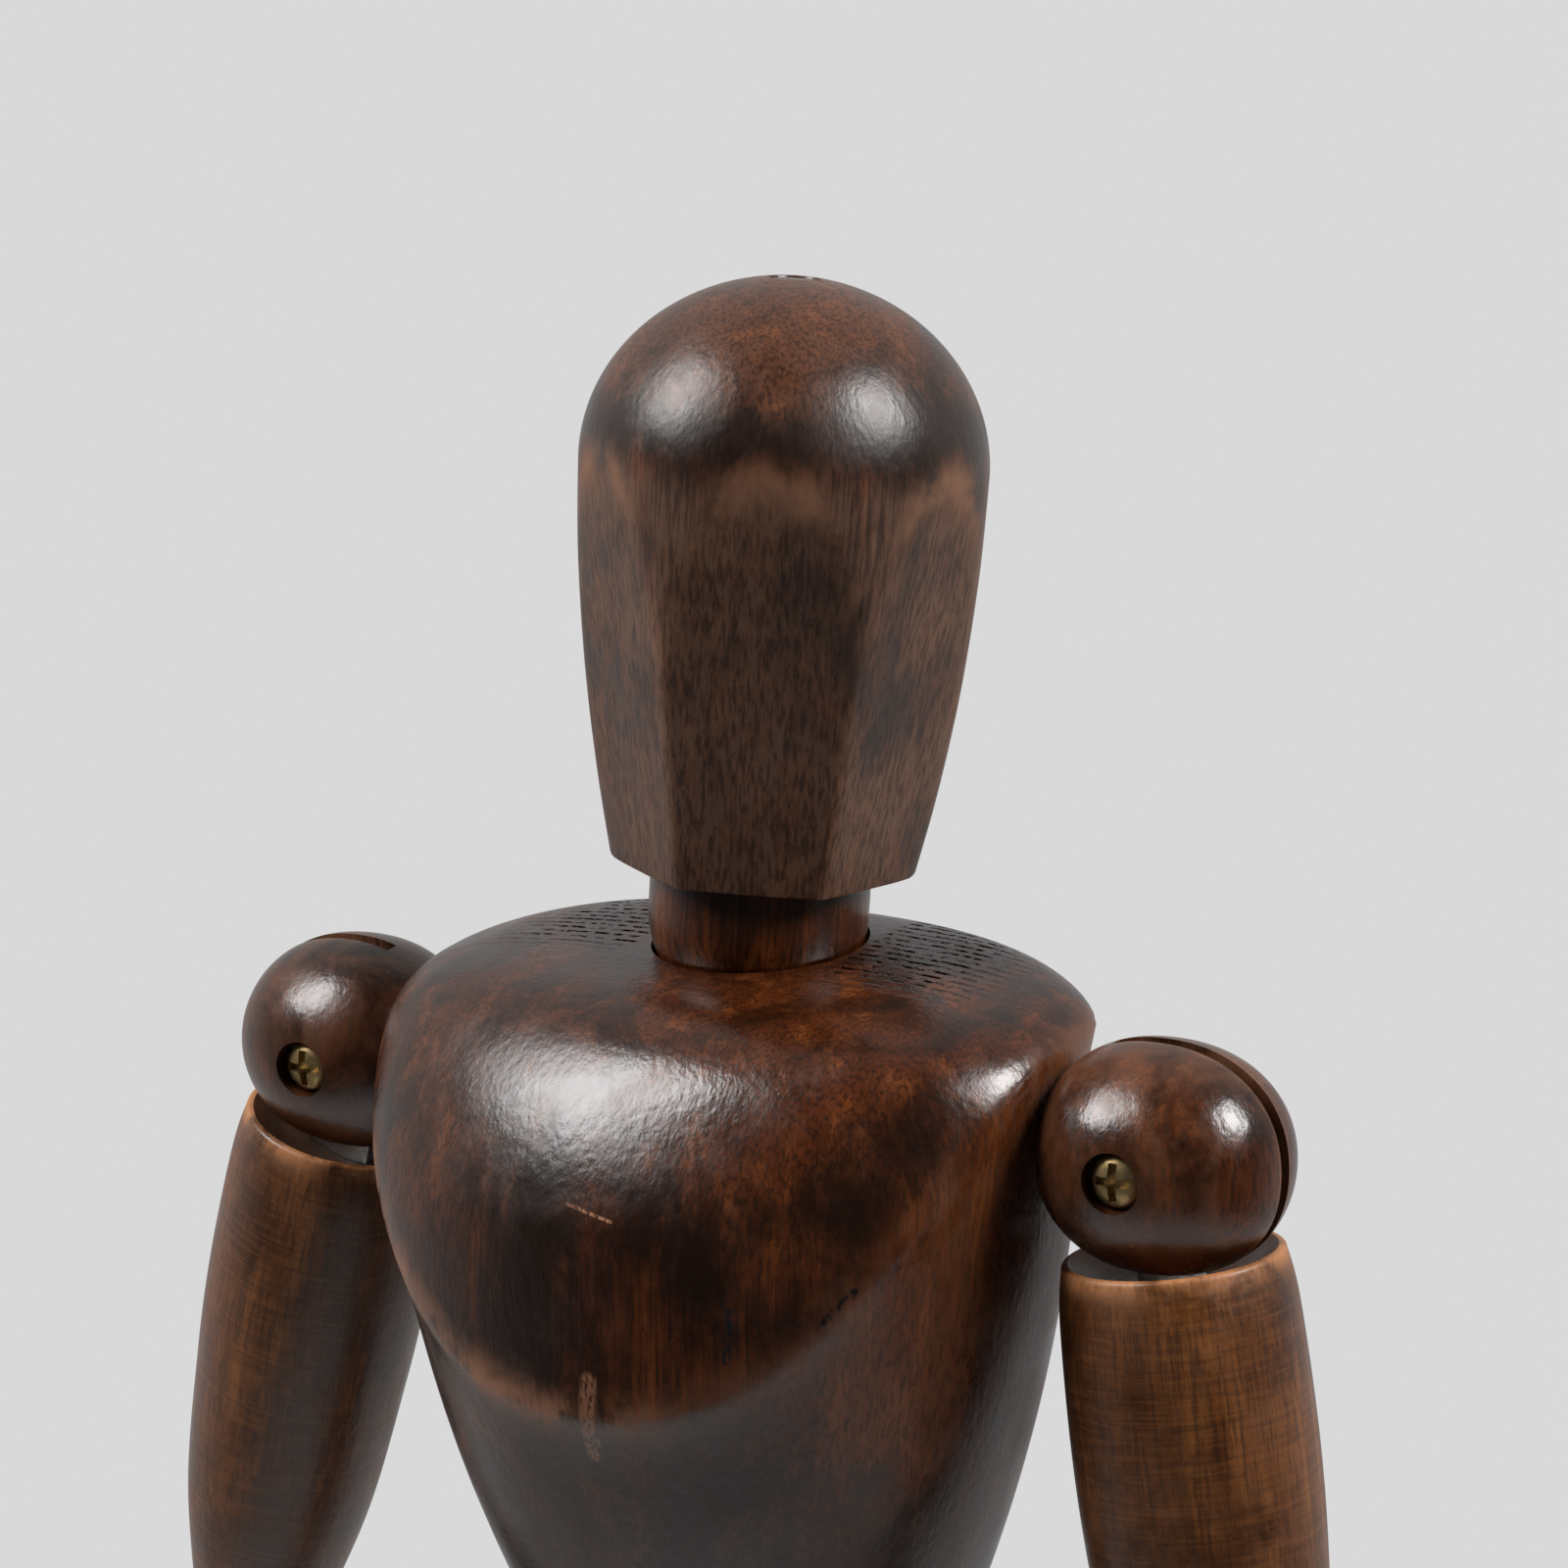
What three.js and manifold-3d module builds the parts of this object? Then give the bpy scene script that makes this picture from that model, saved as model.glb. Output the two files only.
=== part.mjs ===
import * as THREE from "three";
import { mergeVertices } from "three/addons/utils/BufferGeometryUtils.js";
import Module from "manifold-3d";

// Jointed wooden artist figure on a stand. Millimetres, +Z up, the figure faces -Y and its left is +X.
// The origin is the centre of the underside of the base.

// Stand
const BASE_RADIUS = 95;
const BASE_HEIGHT = 22;
const BASE_ROUNDING = 6;
const ROD_DIAMETER = 8;
const ROD_DEPTH_IN_BASE = 17;
const ROD_DEPTH_IN_PELVIS = 46;
const ROD_BEHIND_HIPS = 10;
const SOLE_LIFT = 26;

// Heights from one joint to the next
const ANKLE_ABOVE_SOLE = 28;
const SHIN_LENGTH = 148;
const THIGH_LENGTH = 150;
const HIP_TO_WAIST = 66;
const WAIST_OPENING = 18;
const CHEST_HEIGHT = 112;
const SHOULDER_DROP = 20.5;
const NECK_HEIGHT = 10;
const HEAD_HEIGHT = 80;

// Head and neck
const HEAD_RADIUS = 27.4;
const HEAD_FOOT_RADIUS = 21;
const HEAD_WIDEST_HEIGHT = 55;
const BROW_HEIGHT = 57;
const FACET_FOOT_DISTANCE = 17.6;
const FACET_SPACING = 58;
const NECK_RADIUS = 15;
const NECK_BALL_RISE = 4;
const NECK_SOCKET_DEPTH = 3;
const NECK_BEHIND_WAIST = 3;
const PLUG_DIAMETER = 7;
const PLUG_LENGTH = 8;
const BOLT_DIAMETER = 4;
const BOLT_HEAD_HEIGHT = 4;
const SPRING_COIL_RADIUS = 4.8;
const SPRING_WIRE_RADIUS = 0.7;
const SPRING_PITCH = 4;

// Chest, given by its width and by how far its front and back stand from the neck axis
const CHEST_HALF_WIDTH = 50;
const CHEST_FRONT = 48.5;
const CHEST_BACK = 24;
const CHEST_FOOT_HALF_WIDTH = 23;
const CHEST_FOOT_FRONT = 24;
const CHEST_FOOT_BACK = 16;
const BREAST_DROP = 31.5;
const CHEST_AXIS_AHEAD = 4;
const CROWN_FALL = 2.6;
const CROWN_ROUNDING = 4.5;
const RIDGE_ROUNDING = 0.3;
const CREASE_DEPTH = 0.8;
const CREASE_REACH = 2;

// Shares, powers and slopes that shape the chest
const BREAST_TOP_SHARE = 0.66;
const BREAST_CURVE = 1.4;
const BREAST_BLEND = 0.14;
const CROWN_CURVE = 3.4;
const CROWN_SLOPE = 0.09;
const OVAL_POWER = 2.2;

// Waist and pelvis
const WAIST_BALL_RADIUS = 19;
const PIN_DIAMETER = 3;
const PIN_LENGTH = 34;
const PIN_FROM_WAIST = 22;
const PELVIS_HALF_WIDTH = 50;
const PELVIS_TOP_HALF_WIDTH = 30;
const PELVIS_FLATNESS = 0.66;
const PELVIS_ABOVE_HIPS = 22.5;
const CROTCH_HALF_WIDTH = 17;
const CROTCH_HALF_DEPTH = 21;
const CROTCH_DROP = 18;
const AXLE_DIAMETER = 6;
const AXLE_DEPTH_IN_BARREL = 5;

// Arms
const SHOULDER_OUT = 63.5;
const SHOULDER_AHEAD_OF_WAIST = 2.5;
const SHOULDER_RADIUS = 15.3;
const SHOULDER_REACH = 17.4;
const UPPER_ARM_LENGTH = 112;
const UPPER_ARM_RIM = 13.7;
const UPPER_ARM_RIM_DROP = 12.9;
const UPPER_ARM_BELLY = 16.1;
const UPPER_ARM_END = 7.6;
const ELBOW_RADIUS = 11.5;
const FOREARM_LENGTH = 92;
const FOREARM_RIM = 8;
const FOREARM_BELLY = 12.2;
const FOREARM_END = 5.4;
const WRIST_RADIUS = 7;
const HAND_LENGTH = 58;
const HAND_WIDTH = 23;
const HAND_THICKNESS = 9;

// Legs
const HIP_OUT = 36;
const HIP_RADIUS = 17;
const HIP_REACH = 19.5;
const THIGH_RIM = 15.2;
const THIGH_RIM_DROP = 14.6;
const THIGH_BELLY = 19.4;
const THIGH_END = 9.6;
const KNEE_RADIUS = 14.5;
const SHIN_RIM = 10;
const SHIN_BELLY = 15.4;
const SHIN_END = 6.6;
const ANKLE_RADIUS = 9;
const FOOT_HEEL = 22;
const FOOT_TOE = 62;
const FOOT_WIDTH = 32;

// Joint screws by the diameter of the shank, tongue eyes, and spigots by their radius
const SHOULDER_SHANK = 3.5;
const ELBOW_SHANK = 3;
const WRIST_SHANK = 2;
const HIP_SHANK = 4;
const KNEE_SHANK = 3.5;
const ANKLE_SHANK = 2.5;
const WIDE_EYE = 5;
const MIDDLE_EYE = 4.4;
const SMALL_EYE = 2.9;
const ELBOW_SPIGOT = 4.5;
const WRIST_SPIGOT = 3;
const KNEE_SPIGOT = 5.5;
const ANKLE_SPIGOT = 3.8;

// Rest pose in degrees: head turned and leaned to its left, arms a little out, forearms a little forward
const HEAD_TURN = 26;
const NECK_LEAN = 3.6;
const NECK_NOD = 2;
const LEFT_SPREAD = 7.3;
const RIGHT_SPREAD = 16.8;
const RIGHT_SWING_BACK = 4;
const ELBOW_BEND = 28;

// Clearances and wall thicknesses
const SEAT_GAP = 0.3;
const TURN_GAP = 0.35;
const CUP_GAP = 0.5;
const DISH_GAP = 0.8;
const RIM_GAP = 0.9;
const SLOT_GAP = 0.2;
const MORTISE_GAP = 0.15;
const TONGUE_THICKNESS = 2;
const TONGUE_DEPTH = 12;

const wasm = await Module();
wasm.setup();

const part = new THREE.Group();
part.name = "artist_figure";

const darkWood = new THREE.MeshStandardMaterial({ name: "dark_wood", color: 0x3a2014, roughness: 0.35 });
const armWood = new THREE.MeshStandardMaterial({ name: "arm_wood", color: 0x6a4022, roughness: 0.45 });
const brass = new THREE.MeshStandardMaterial({ name: "brass", color: 0x9a7a45, roughness: 0.4, metalness: 1 });
const steel = new THREE.MeshStandardMaterial({ name: "steel", color: 0x8d9094, roughness: 0.35, metalness: 1 });
const standWood = new THREE.MeshStandardMaterial({ name: "stand_wood", color: 0x402618, roughness: 0.4 });

const radians = THREE.MathUtils.degToRad;
const soleZ = BASE_HEIGHT + SOLE_LIFT;
const ankleZ = soleZ + ANKLE_ABOVE_SOLE;
const kneeZ = ankleZ + SHIN_LENGTH;
const hipZ = kneeZ + THIGH_LENGTH;
const waistZ = hipZ + HIP_TO_WAIST;
const chestTopZ = waistZ + WAIST_OPENING / 2 + CHEST_HEIGHT;
const shoulderZ = chestTopZ - SHOULDER_DROP;
const neckBallZ = chestTopZ + NECK_BALL_RISE;

// Closed solid from a geometry, facing out
function solid(geometry) {
  const plain = new THREE.BufferGeometry();
  plain.setAttribute("position", geometry.getAttribute("position"));
  plain.setIndex(geometry.getIndex());
  const welded = mergeVertices(plain, 1e-4);
  const points = welded.getAttribute("position").array;
  const corners = welded.getIndex().array;
  const triangles = [];
  let volume = 0;
  for (let i = 0; i < corners.length; i += 3) {
    const [a, b, c] = corners.slice(i, i + 3);
    if (a === b || b === c || c === a) continue;
    triangles.push(a, b, c);
    const first = new THREE.Vector3().fromArray(points, 3 * a);
    const second = new THREE.Vector3().fromArray(points, 3 * b);
    const third = new THREE.Vector3().fromArray(points, 3 * c);
    volume += first.dot(second.cross(third));
  }
  const outward = volume < 0 ? triangles.reverse() : triangles;
  const mesh = new wasm.Mesh({
    numProp: 3,
    vertProperties: new Float32Array(points),
    triVerts: new Uint32Array(outward),
  });
  return new wasm.Manifold(mesh);
}

// Named piece in a group; side -1 mirrors it to the right of the figure
function addPiece(group, name, body, material, side = 1) {
  const mesh = body.getMesh();
  const geometry = new THREE.BufferGeometry();
  geometry.setAttribute("position", new THREE.BufferAttribute(new Float32Array(mesh.vertProperties), 3));
  const corners = Array.from(mesh.triVerts);
  geometry.setIndex(side < 0 ? corners.reverse() : corners);
  geometry.scale(side, 1, 1);
  geometry.computeVertexNormals();
  const piece = new THREE.Mesh(geometry, material);
  piece.name = name;
  group.add(piece);
}

// Turned solid about Z from [radius, height] points
function turned(profile, segments = 13) {
  const points = profile.map(([radius, height]) => new THREE.Vector2(radius, height));
  return solid(new THREE.LatheGeometry(points, segments).rotateX(Math.PI / 2));
}

// Turned solid about X from [radius, distance] points
function turnedAcross(profile, segments = 16) {
  const points = profile.map(([radius, distance]) => new THREE.Vector2(radius, distance));
  return solid(new THREE.LatheGeometry(points, segments).rotateZ(-Math.PI / 2));
}

// Round bar from one end to the other along x, y or z
function bar(axis, radius, start, end, [x, y, z] = [0, 0, 0], segments = 12) {
  const geometry = new THREE.CylinderGeometry(radius, radius, end - start, segments);
  geometry.translate(0, (start + end) / 2, 0);
  if (axis === "x") geometry.rotateZ(-Math.PI / 2);
  if (axis === "z") geometry.rotateX(Math.PI / 2);
  return solid(geometry.translate(x, y, z));
}

function ball(radius, [x, y, z] = [0, 0, 0], segments = 18) {
  const geometry = new THREE.SphereGeometry(radius, segments, Math.round(segments * 0.6));
  return solid(geometry.rotateX(Math.PI / 2).translate(x, y, z));
}

function block([x0, x1], [y0, y1], [z0, z1]) {
  const geometry = new THREE.BoxGeometry(x1 - x0, y1 - y0, z1 - z0);
  return solid(geometry.translate((x0 + x1) / 2, (y0 + y1) / 2, (z0 + z1) / 2));
}

// Flat plate from an outline in YZ, centred on x = 0
function plateAcross(outline, thickness, bevel = 0) {
  const geometry = new THREE.ExtrudeGeometry(outline, {
    depth: thickness - 2 * bevel,
    bevelEnabled: bevel > 0,
    bevelThickness: bevel,
    bevelSize: bevel,
    bevelOffset: -bevel,
    bevelSegments: 2,
    curveSegments: 4,
  });
  geometry.translate(0, 0, -thickness / 2 + bevel);
  geometry.rotateY(Math.PI / 2).rotateX(Math.PI / 2);
  return solid(geometry);
}

// Quarter turn about Z, which takes a piece made for a sideways screw to a screw from the front
function quarterTurn(body) {
  return body.rotate([0, 0, -90]);
}

// Points of an arc around a joint, from one radius to another, above (+1) or below (-1) the joint
function arc(reach, fromRadius, toRadius, centreHeight, direction, steps = 3) {
  const start = Math.asin(fromRadius / reach);
  const end = Math.asin(toRadius / reach);
  return Array.from({ length: steps + 1 }, (_, i) => {
    const angle = start + ((end - start) * i) / steps;
    return [reach * Math.sin(angle), centreHeight + direction * reach * Math.cos(angle)];
  });
}

// Smooth curve through [radius, height] points
function smooth(knots, steps) {
  const curve = new THREE.SplineCurve(knots.map(([radius, height]) => new THREE.Vector2(radius, height)));
  return curve.getPoints(steps).map((point) => [point.x, point.y]);
}

// Screw sizes by shank diameter
function screwSizes(shank) {
  return { shank: shank / 2, head: shank * 0.93, headHeight: shank * 0.65, well: shank * 1.15 };
}

// Cross-headed screw along X with its head on the +X side, its top face at headTop
function screw(shankDiameter, headTop, tip) {
  const size = screwSizes(shankDiameter);
  const seat = headTop - size.headHeight;
  const body = turnedAcross([
    [0, tip],
    [size.shank, tip + size.shank],
    [size.shank, seat],
    [size.head, seat],
    [size.head, headTop - size.headHeight * 0.35],
    [size.head * 0.72, headTop],
    [0, headTop],
  ], 10);
  const depth = [headTop - size.headHeight * 0.6, headTop + 1];
  const arm = size.head * 0.62;
  const half = size.head * 0.13;
  const recess = block(depth, [-arm, arm], [-half, half]).add(block(depth, [-half, half], [-arm, arm]));
  return body.subtract(recess);
}

// Hole for a screw along X: shank bore, and a well for the head
function screwHole(shankDiameter, headTop, tip, surface) {
  const size = screwSizes(shankDiameter);
  const seat = headTop - size.headHeight - SEAT_GAP;
  const bore = bar("x", size.shank + MORTISE_GAP, tip - SEAT_GAP, surface + 2);
  return bore.add(bar("x", size.well, seat, surface + 2, [0, 0, 0], 14));
}

// Steel tongue in YZ: an eye around the joint and a strip down into the limb
function tongue(eyeRadius, shankDiameter, foot) {
  const outline = new THREE.Shape();
  outline.moveTo(-eyeRadius, -foot);
  outline.lineTo(eyeRadius, -foot);
  outline.lineTo(eyeRadius, 0);
  outline.absarc(0, 0, eyeRadius, 0, Math.PI, false);
  outline.lineTo(-eyeRadius, -foot);
  const eye = new THREE.Path();
  eye.absarc(0, 0, shankDiameter / 2 + TURN_GAP, 0, 2 * Math.PI, true);
  outline.holes.push(eye);
  return plateAcross(outline, TONGUE_THICKNESS);
}

// Room for a tongue in the end of a limb
function mortise(eyeRadius, dish, foot) {
  const half = TONGUE_THICKNESS / 2 + MORTISE_GAP;
  const wide = eyeRadius + MORTISE_GAP;
  return block([-half, half], [-wide, wide], [-foot - SEAT_GAP, -dish * 0.5]);
}

// Slot through a ball, thin in X: open below and on the side of y = open * infinity, closed behind the eye
function bentSlot(ballRadius, eyeRadius, open) {
  const half = TONGUE_THICKNESS / 2 + SLOT_GAP;
  const out = ballRadius + 2;
  const back = eyeRadius + TURN_GAP;
  const outline = new THREE.Shape();
  outline.moveTo(-open * back, -out);
  outline.lineTo(open * out, -out);
  outline.lineTo(open * out, back * 1.5);
  outline.lineTo(-open * back, back);
  outline.lineTo(-open * back, -out);
  return plateAcross(outline, 2 * half);
}

// Ball with a spigot that stands up into the limb above it
function spigotBall(radius, spigotRadius, spigotTop) {
  const neck = Math.sqrt(radius ** 2 - spigotRadius ** 2);
  const side = [];
  for (let i = 0; i <= 6; i += 1) {
    const angle = -Math.PI / 2 + ((Math.asin(neck / radius) + Math.PI / 2) * i) / 6;
    side.push([radius * Math.cos(angle), radius * Math.sin(angle)]);
  }
  side[0][0] = 0;
  return turned([...side, [spigotRadius, spigotTop], [0, spigotTop]], 12);
}

// Turned limb below a joint at the origin, dished at both ends around the joints
function limb(topDish, rim, belly, end, length, bottomDish, bellyAt) {
  const rimZ = -Math.sqrt(topDish ** 2 - rim ** 2);
  const endZ = -length + Math.sqrt(bottomDish ** 2 - end ** 2);
  const bellyZ = rimZ - bellyAt;
  const top = arc(topDish, 0, rim, 0, -1);
  const outer = smooth([
    [rim + RIM_GAP, rimZ - 0.4],
    [(rim + belly) / 2 + RIM_GAP * 0.8, rimZ - bellyAt * 0.3],
    [belly, bellyZ],
    [belly - (belly - end) * 0.07, bellyZ + (endZ - bellyZ) * 0.26],
    [belly - (belly - end) * 0.3, bellyZ + (endZ - bellyZ) * 0.62],
    [end + RIM_GAP, endZ + 0.4],
  ], 10);
  const bottom = arc(bottomDish, end, 0, -length, 1);
  return turned([...top, ...outer, ...bottom]);
}

// Barrel on an axle along X around a joint at x = 0, its inner face flat at -inner
function barrel(radius, reach, inner) {
  const innerReach = inner * 1.24;
  const profile = [[0, -inner]];
  for (let i = 0; i <= 8; i += 1) {
    const distance = -inner + (reach + inner) * Math.sin((Math.PI * i) / 16);
    const share = distance < 0 ? -distance / innerReach : distance / reach;
    profile.push([radius * Math.max(0, 1 - Math.min(1, share) ** 2.2) ** (1 / 2.2), distance]);
  }
  profile[profile.length - 1] = [0, reach];
  return turnedAcross(profile);
}

// Barrel with its slot, screw hole and axle hole; the screw comes from the front
function slottedBarrel(radius, reach, inner, eyeRadius, shank, headTop, tip) {
  const half = TONGUE_THICKNESS / 2 + SLOT_GAP;
  const slot = block([-eyeRadius - 1.5, reach + 2], [-half, half], [-radius - 2, radius + 2]);
  const axleHole = bar("x", AXLE_DIAMETER / 2 + TURN_GAP, -inner - 2, -inner + AXLE_DEPTH_IN_BARREL);
  const hole = quarterTurn(screwHole(shank, headTop, tip, radius));
  return barrel(radius, reach, inner).subtract(slot).subtract(axleHole).subtract(hole);
}

// Ball with a spigot, slotted for a sideways screw
function slottedBall(radius, spigotRadius, spigotTop, slot, shank, headTop, tip) {
  const hole = screwHole(shank, headTop, tip, radius);
  return spigotBall(radius, spigotRadius, spigotTop).subtract(slot).subtract(hole);
}

class Coil extends THREE.Curve {
  constructor(radius, bottom, top, turns) {
    super();
    Object.assign(this, { radius, bottom, top, turns });
  }

  getPoint(share) {
    const angle = 2 * Math.PI * this.turns * share;
    const height = this.bottom + (this.top - this.bottom) * share;
    return new THREE.Vector3(this.radius * Math.cos(angle), this.radius * Math.sin(angle), height);
  }
}

function spring(radius, wireRadius, bottom, top, pitch) {
  const turns = Math.max(2, Math.round((top - bottom) / pitch));
  const wire = new THREE.Shape();
  wire.absarc(0, 0, wireRadius, 0, 2 * Math.PI, false);
  const path = new Coil(radius, bottom + wireRadius, top - wireRadius, turns);
  const options = { steps: turns * 6, extrudePath: path, curveSegments: 2, bevelEnabled: false };
  return solid(new THREE.ExtrudeGeometry(wire, options));
}

// Carved form: a sphere whose points are moved out to where the form function reaches zero
function carved(form, [cx, cy, cz], columns, rows) {
  const geometry = new THREE.SphereGeometry(1, columns, rows).rotateX(Math.PI / 2);
  const position = geometry.getAttribute("position");
  const ray = new THREE.Vector3();
  for (let i = 0; i < position.count; i += 1) {
    ray.fromBufferAttribute(position, i);
    let near = 0;
    let far = 200;
    for (let step = 0; step < 40; step += 1) {
      const middle = (near + far) / 2;
      const inside = form(cx + ray.x * middle, cy + ray.y * middle, cz + ray.z * middle) < 0;
      if (inside) near = middle;
      else far = middle;
    }
    position.setXYZ(i, cx + ray.x * near, cy + ray.y * near, cz + ray.z * near);
  }
  return solid(geometry);
}

// Largest of several distances with the corners between them rounded
function roundedMax(values, rounding) {
  const top = Math.max(...values);
  const sum = values.reduce((total, value) => total + Math.exp((value - top) / rounding), 0);
  return top + rounding * Math.log(sum);
}

// How far outside a rounded oval a point is, in millimetres on the scale of the chest
function ovalDistance(across, along, halfAcross, halfAlong, power) {
  const share = (Math.abs(across / halfAcross) ** power + Math.abs(along / halfAlong) ** power) ** (1 / power);
  return (share - 1) * CHEST_FRONT * 0.7;
}

// Chest about the neck axis, with height 0 at its top
function chestForm(x, y, z) {
  const middle = -CHEST_AXIS_AHEAD;
  const front = y < middle;
  const down = THREE.MathUtils.clamp(-z / BREAST_DROP, -0.1, 1.3);
  const swell = 1 - ((1 - down + Math.hypot(1 - down, BREAST_BLEND)) / 2) ** BREAST_CURVE;
  const breast = CHEST_FRONT * (BREAST_TOP_SHARE + (1 - BREAST_TOP_SHARE) * swell) + middle;
  const back = CHEST_BACK - middle;
  const pillow = ovalDistance(x, y - middle, CHEST_HALF_WIDTH * 1.08, front ? breast : back, OVAL_POWER);
  const fall = THREE.MathUtils.clamp(-z / CHEST_HEIGHT, 0, 1.1);
  const half = CHEST_HALF_WIDTH * 1.02 + (CHEST_FOOT_HALF_WIDTH - CHEST_HALF_WIDTH * 1.02) * fall ** 1.95;
  const coneFront = CHEST_FRONT * 1.2 + (CHEST_FOOT_FRONT - CHEST_FRONT * 1.2) * fall ** 1.7 + middle;
  const coneBack = CHEST_BACK * 1.05 + (CHEST_FOOT_BACK - CHEST_BACK * 1.05) * fall ** 1.5 - middle;
  const cone = ovalDistance(x, y - middle, half, front ? coneFront : coneBack, OVAL_POWER);
  const crown = z + CROWN_FALL * (Math.abs(x) / CHEST_HALF_WIDTH) ** CROWN_CURVE - CROWN_SLOPE * y;
  const sides = Math.abs(x) - CHEST_HALF_WIDTH;
  const upper = roundedMax([pillow, crown], CROWN_ROUNDING);
  const under = Math.max(0, cone - upper) / CREASE_REACH;
  const body = roundedMax([upper, cone + CREASE_DEPTH * under * Math.exp(1 - under), sides], RIDGE_ROUNDING);
  return Math.max(body, -z - CHEST_HEIGHT);
}

// Lengths that several pieces share
const armDish = Math.hypot(UPPER_ARM_RIM, UPPER_ARM_RIM_DROP);
const elbowDish = ELBOW_RADIUS + DISH_GAP;
const wristDish = WRIST_RADIUS + DISH_GAP;
const thighDish = Math.hypot(THIGH_RIM, THIGH_RIM_DROP);
const kneeDish = KNEE_RADIUS + DISH_GAP;
const ankleDish = ANKLE_RADIUS + DISH_GAP;
const shoulderInner = SHOULDER_OUT - CHEST_HALF_WIDTH - SEAT_GAP;
const hipInner = HIP_OUT - CROTCH_HALF_WIDTH - SEAT_GAP;

// Stand
const rodTop = hipZ - CROTCH_DROP + ROD_DEPTH_IN_PELVIS;
const rodFoot = BASE_HEIGHT - ROD_DEPTH_IN_BASE;
const corner = Array.from({ length: 4 }, (_, i) => {
  const angle = (Math.PI / 6) * i;
  const inset = BASE_RADIUS - BASE_ROUNDING;
  return [inset + BASE_ROUNDING * Math.cos(angle), BASE_HEIGHT - BASE_ROUNDING * (1 - Math.sin(angle))];
});
const baseBlank = turned([[0, 0], [BASE_RADIUS - 1, 0], [BASE_RADIUS, 1], ...corner, [0, BASE_HEIGHT]], 30);
const rodAt = [0, ROD_BEHIND_HIPS, 0];
const rodHoleRadius = ROD_DIAMETER / 2 + TURN_GAP;
const base = baseBlank.subtract(bar("z", rodHoleRadius, rodFoot, BASE_HEIGHT + 2, rodAt, 20));
addPiece(part, "base", base, standWood);
const standRod = bar("z", ROD_DIAMETER / 2, rodFoot + SEAT_GAP, rodTop, rodAt, 20);
addPiece(part, "stand_rod", standRod, steel);

// Pelvis, about the middle of the hip axle
const pelvis = new THREE.Group();
pelvis.position.set(0, 0, hipZ);
part.add(pelvis);
const pelvisTop = HIP_TO_WAIST - WAIST_OPENING / 2;
const pelvisUnder = PELVIS_ABOVE_HIPS;
const hips = new THREE.LatheGeometry(
  [[0, pelvisUnder], [PELVIS_HALF_WIDTH - 6, pelvisUnder], ...smooth([
    [PELVIS_HALF_WIDTH - 3.5, pelvisUnder + 1.5],
    [PELVIS_HALF_WIDTH, pelvisUnder + 9],
    [PELVIS_HALF_WIDTH * 0.72 + PELVIS_TOP_HALF_WIDTH * 0.28, pelvisUnder * 0.42 + pelvisTop * 0.58],
    [PELVIS_TOP_HALF_WIDTH + 3, pelvisTop - 3],
  ], 7), [PELVIS_TOP_HALF_WIDTH, pelvisTop], [0, pelvisTop]].map(([r, z]) => new THREE.Vector2(r, z)),
  24,
).rotateX(Math.PI / 2).scale(1, PELVIS_FLATNESS, 1);
const crotchOutline = new THREE.Shape();
crotchOutline.moveTo(-CROTCH_HALF_DEPTH - 2, pelvisUnder + 6);
crotchOutline.lineTo(-CROTCH_HALF_DEPTH, 4);
crotchOutline.quadraticCurveTo(-CROTCH_HALF_DEPTH + 2, -CROTCH_DROP, -2, -CROTCH_DROP);
crotchOutline.lineTo(CROTCH_HALF_DEPTH - 5, -CROTCH_DROP);
crotchOutline.quadraticCurveTo(CROTCH_HALF_DEPTH + 1, -CROTCH_DROP, CROTCH_HALF_DEPTH + 2, 4);
crotchOutline.lineTo(CROTCH_HALF_DEPTH + 3, pelvisUnder + 6);
const waistCup = ball(WAIST_BALL_RADIUS + CUP_GAP, [0, 0, HIP_TO_WAIST]);
const springRoom = SPRING_COIL_RADIUS + SPRING_WIRE_RADIUS + SEAT_GAP;
const lowerPinZ = HIP_TO_WAIST - PIN_FROM_WAIST;
const pinHoleRadius = PIN_DIAMETER / 2 + MORTISE_GAP;
const pinFront = -8;
const pelvisBody = solid(hips)
  .add(plateAcross(crotchOutline, 2 * CROTCH_HALF_WIDTH, 2))
  .subtract(waistCup)
  .subtract(bar("z", springRoom, lowerPinZ - 3, HIP_TO_WAIST))
  .subtract(bar("y", pinHoleRadius, pinFront - SEAT_GAP, CHEST_FRONT, [0, 0, lowerPinZ]))
  .subtract(bar("x", AXLE_DIAMETER / 2 + MORTISE_GAP, -HIP_OUT, HIP_OUT))
  .subtract(bar("z", rodHoleRadius, -CROTCH_DROP - 2, rodTop + SEAT_GAP - hipZ, rodAt, 20));
addPiece(pelvis, "pelvis", pelvisBody, darkWood);
const pinEnd = pinFront + PIN_LENGTH;
addPiece(pelvis, "waist_pin_lower", bar("y", PIN_DIAMETER / 2, pinFront, pinEnd, [0, 0, lowerPinZ]), steel);
const hipAxleEnd = CROTCH_HALF_WIDTH + AXLE_DEPTH_IN_BARREL;
addPiece(pelvis, "hip_rod", bar("x", AXLE_DIAMETER / 2, -hipAxleEnd, hipAxleEnd), steel);

// Waist ball and the spring through it
const waist = new THREE.Group();
waist.position.set(0, 0, waistZ);
part.add(waist);
const waistBore = bar("z", springRoom, -WAIST_BALL_RADIUS - 2, WAIST_BALL_RADIUS + 2);
addPiece(waist, "waist_ball", ball(WAIST_BALL_RADIUS).subtract(waistBore), darkWood);
const waistSpringEnd = PIN_FROM_WAIST - PIN_DIAMETER / 2 - SEAT_GAP;
const waistCoil = spring(SPRING_COIL_RADIUS, SPRING_WIRE_RADIUS, -waistSpringEnd, waistSpringEnd, SPRING_PITCH);
addPiece(waist, "waist_spring", waistCoil, steel);

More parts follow.
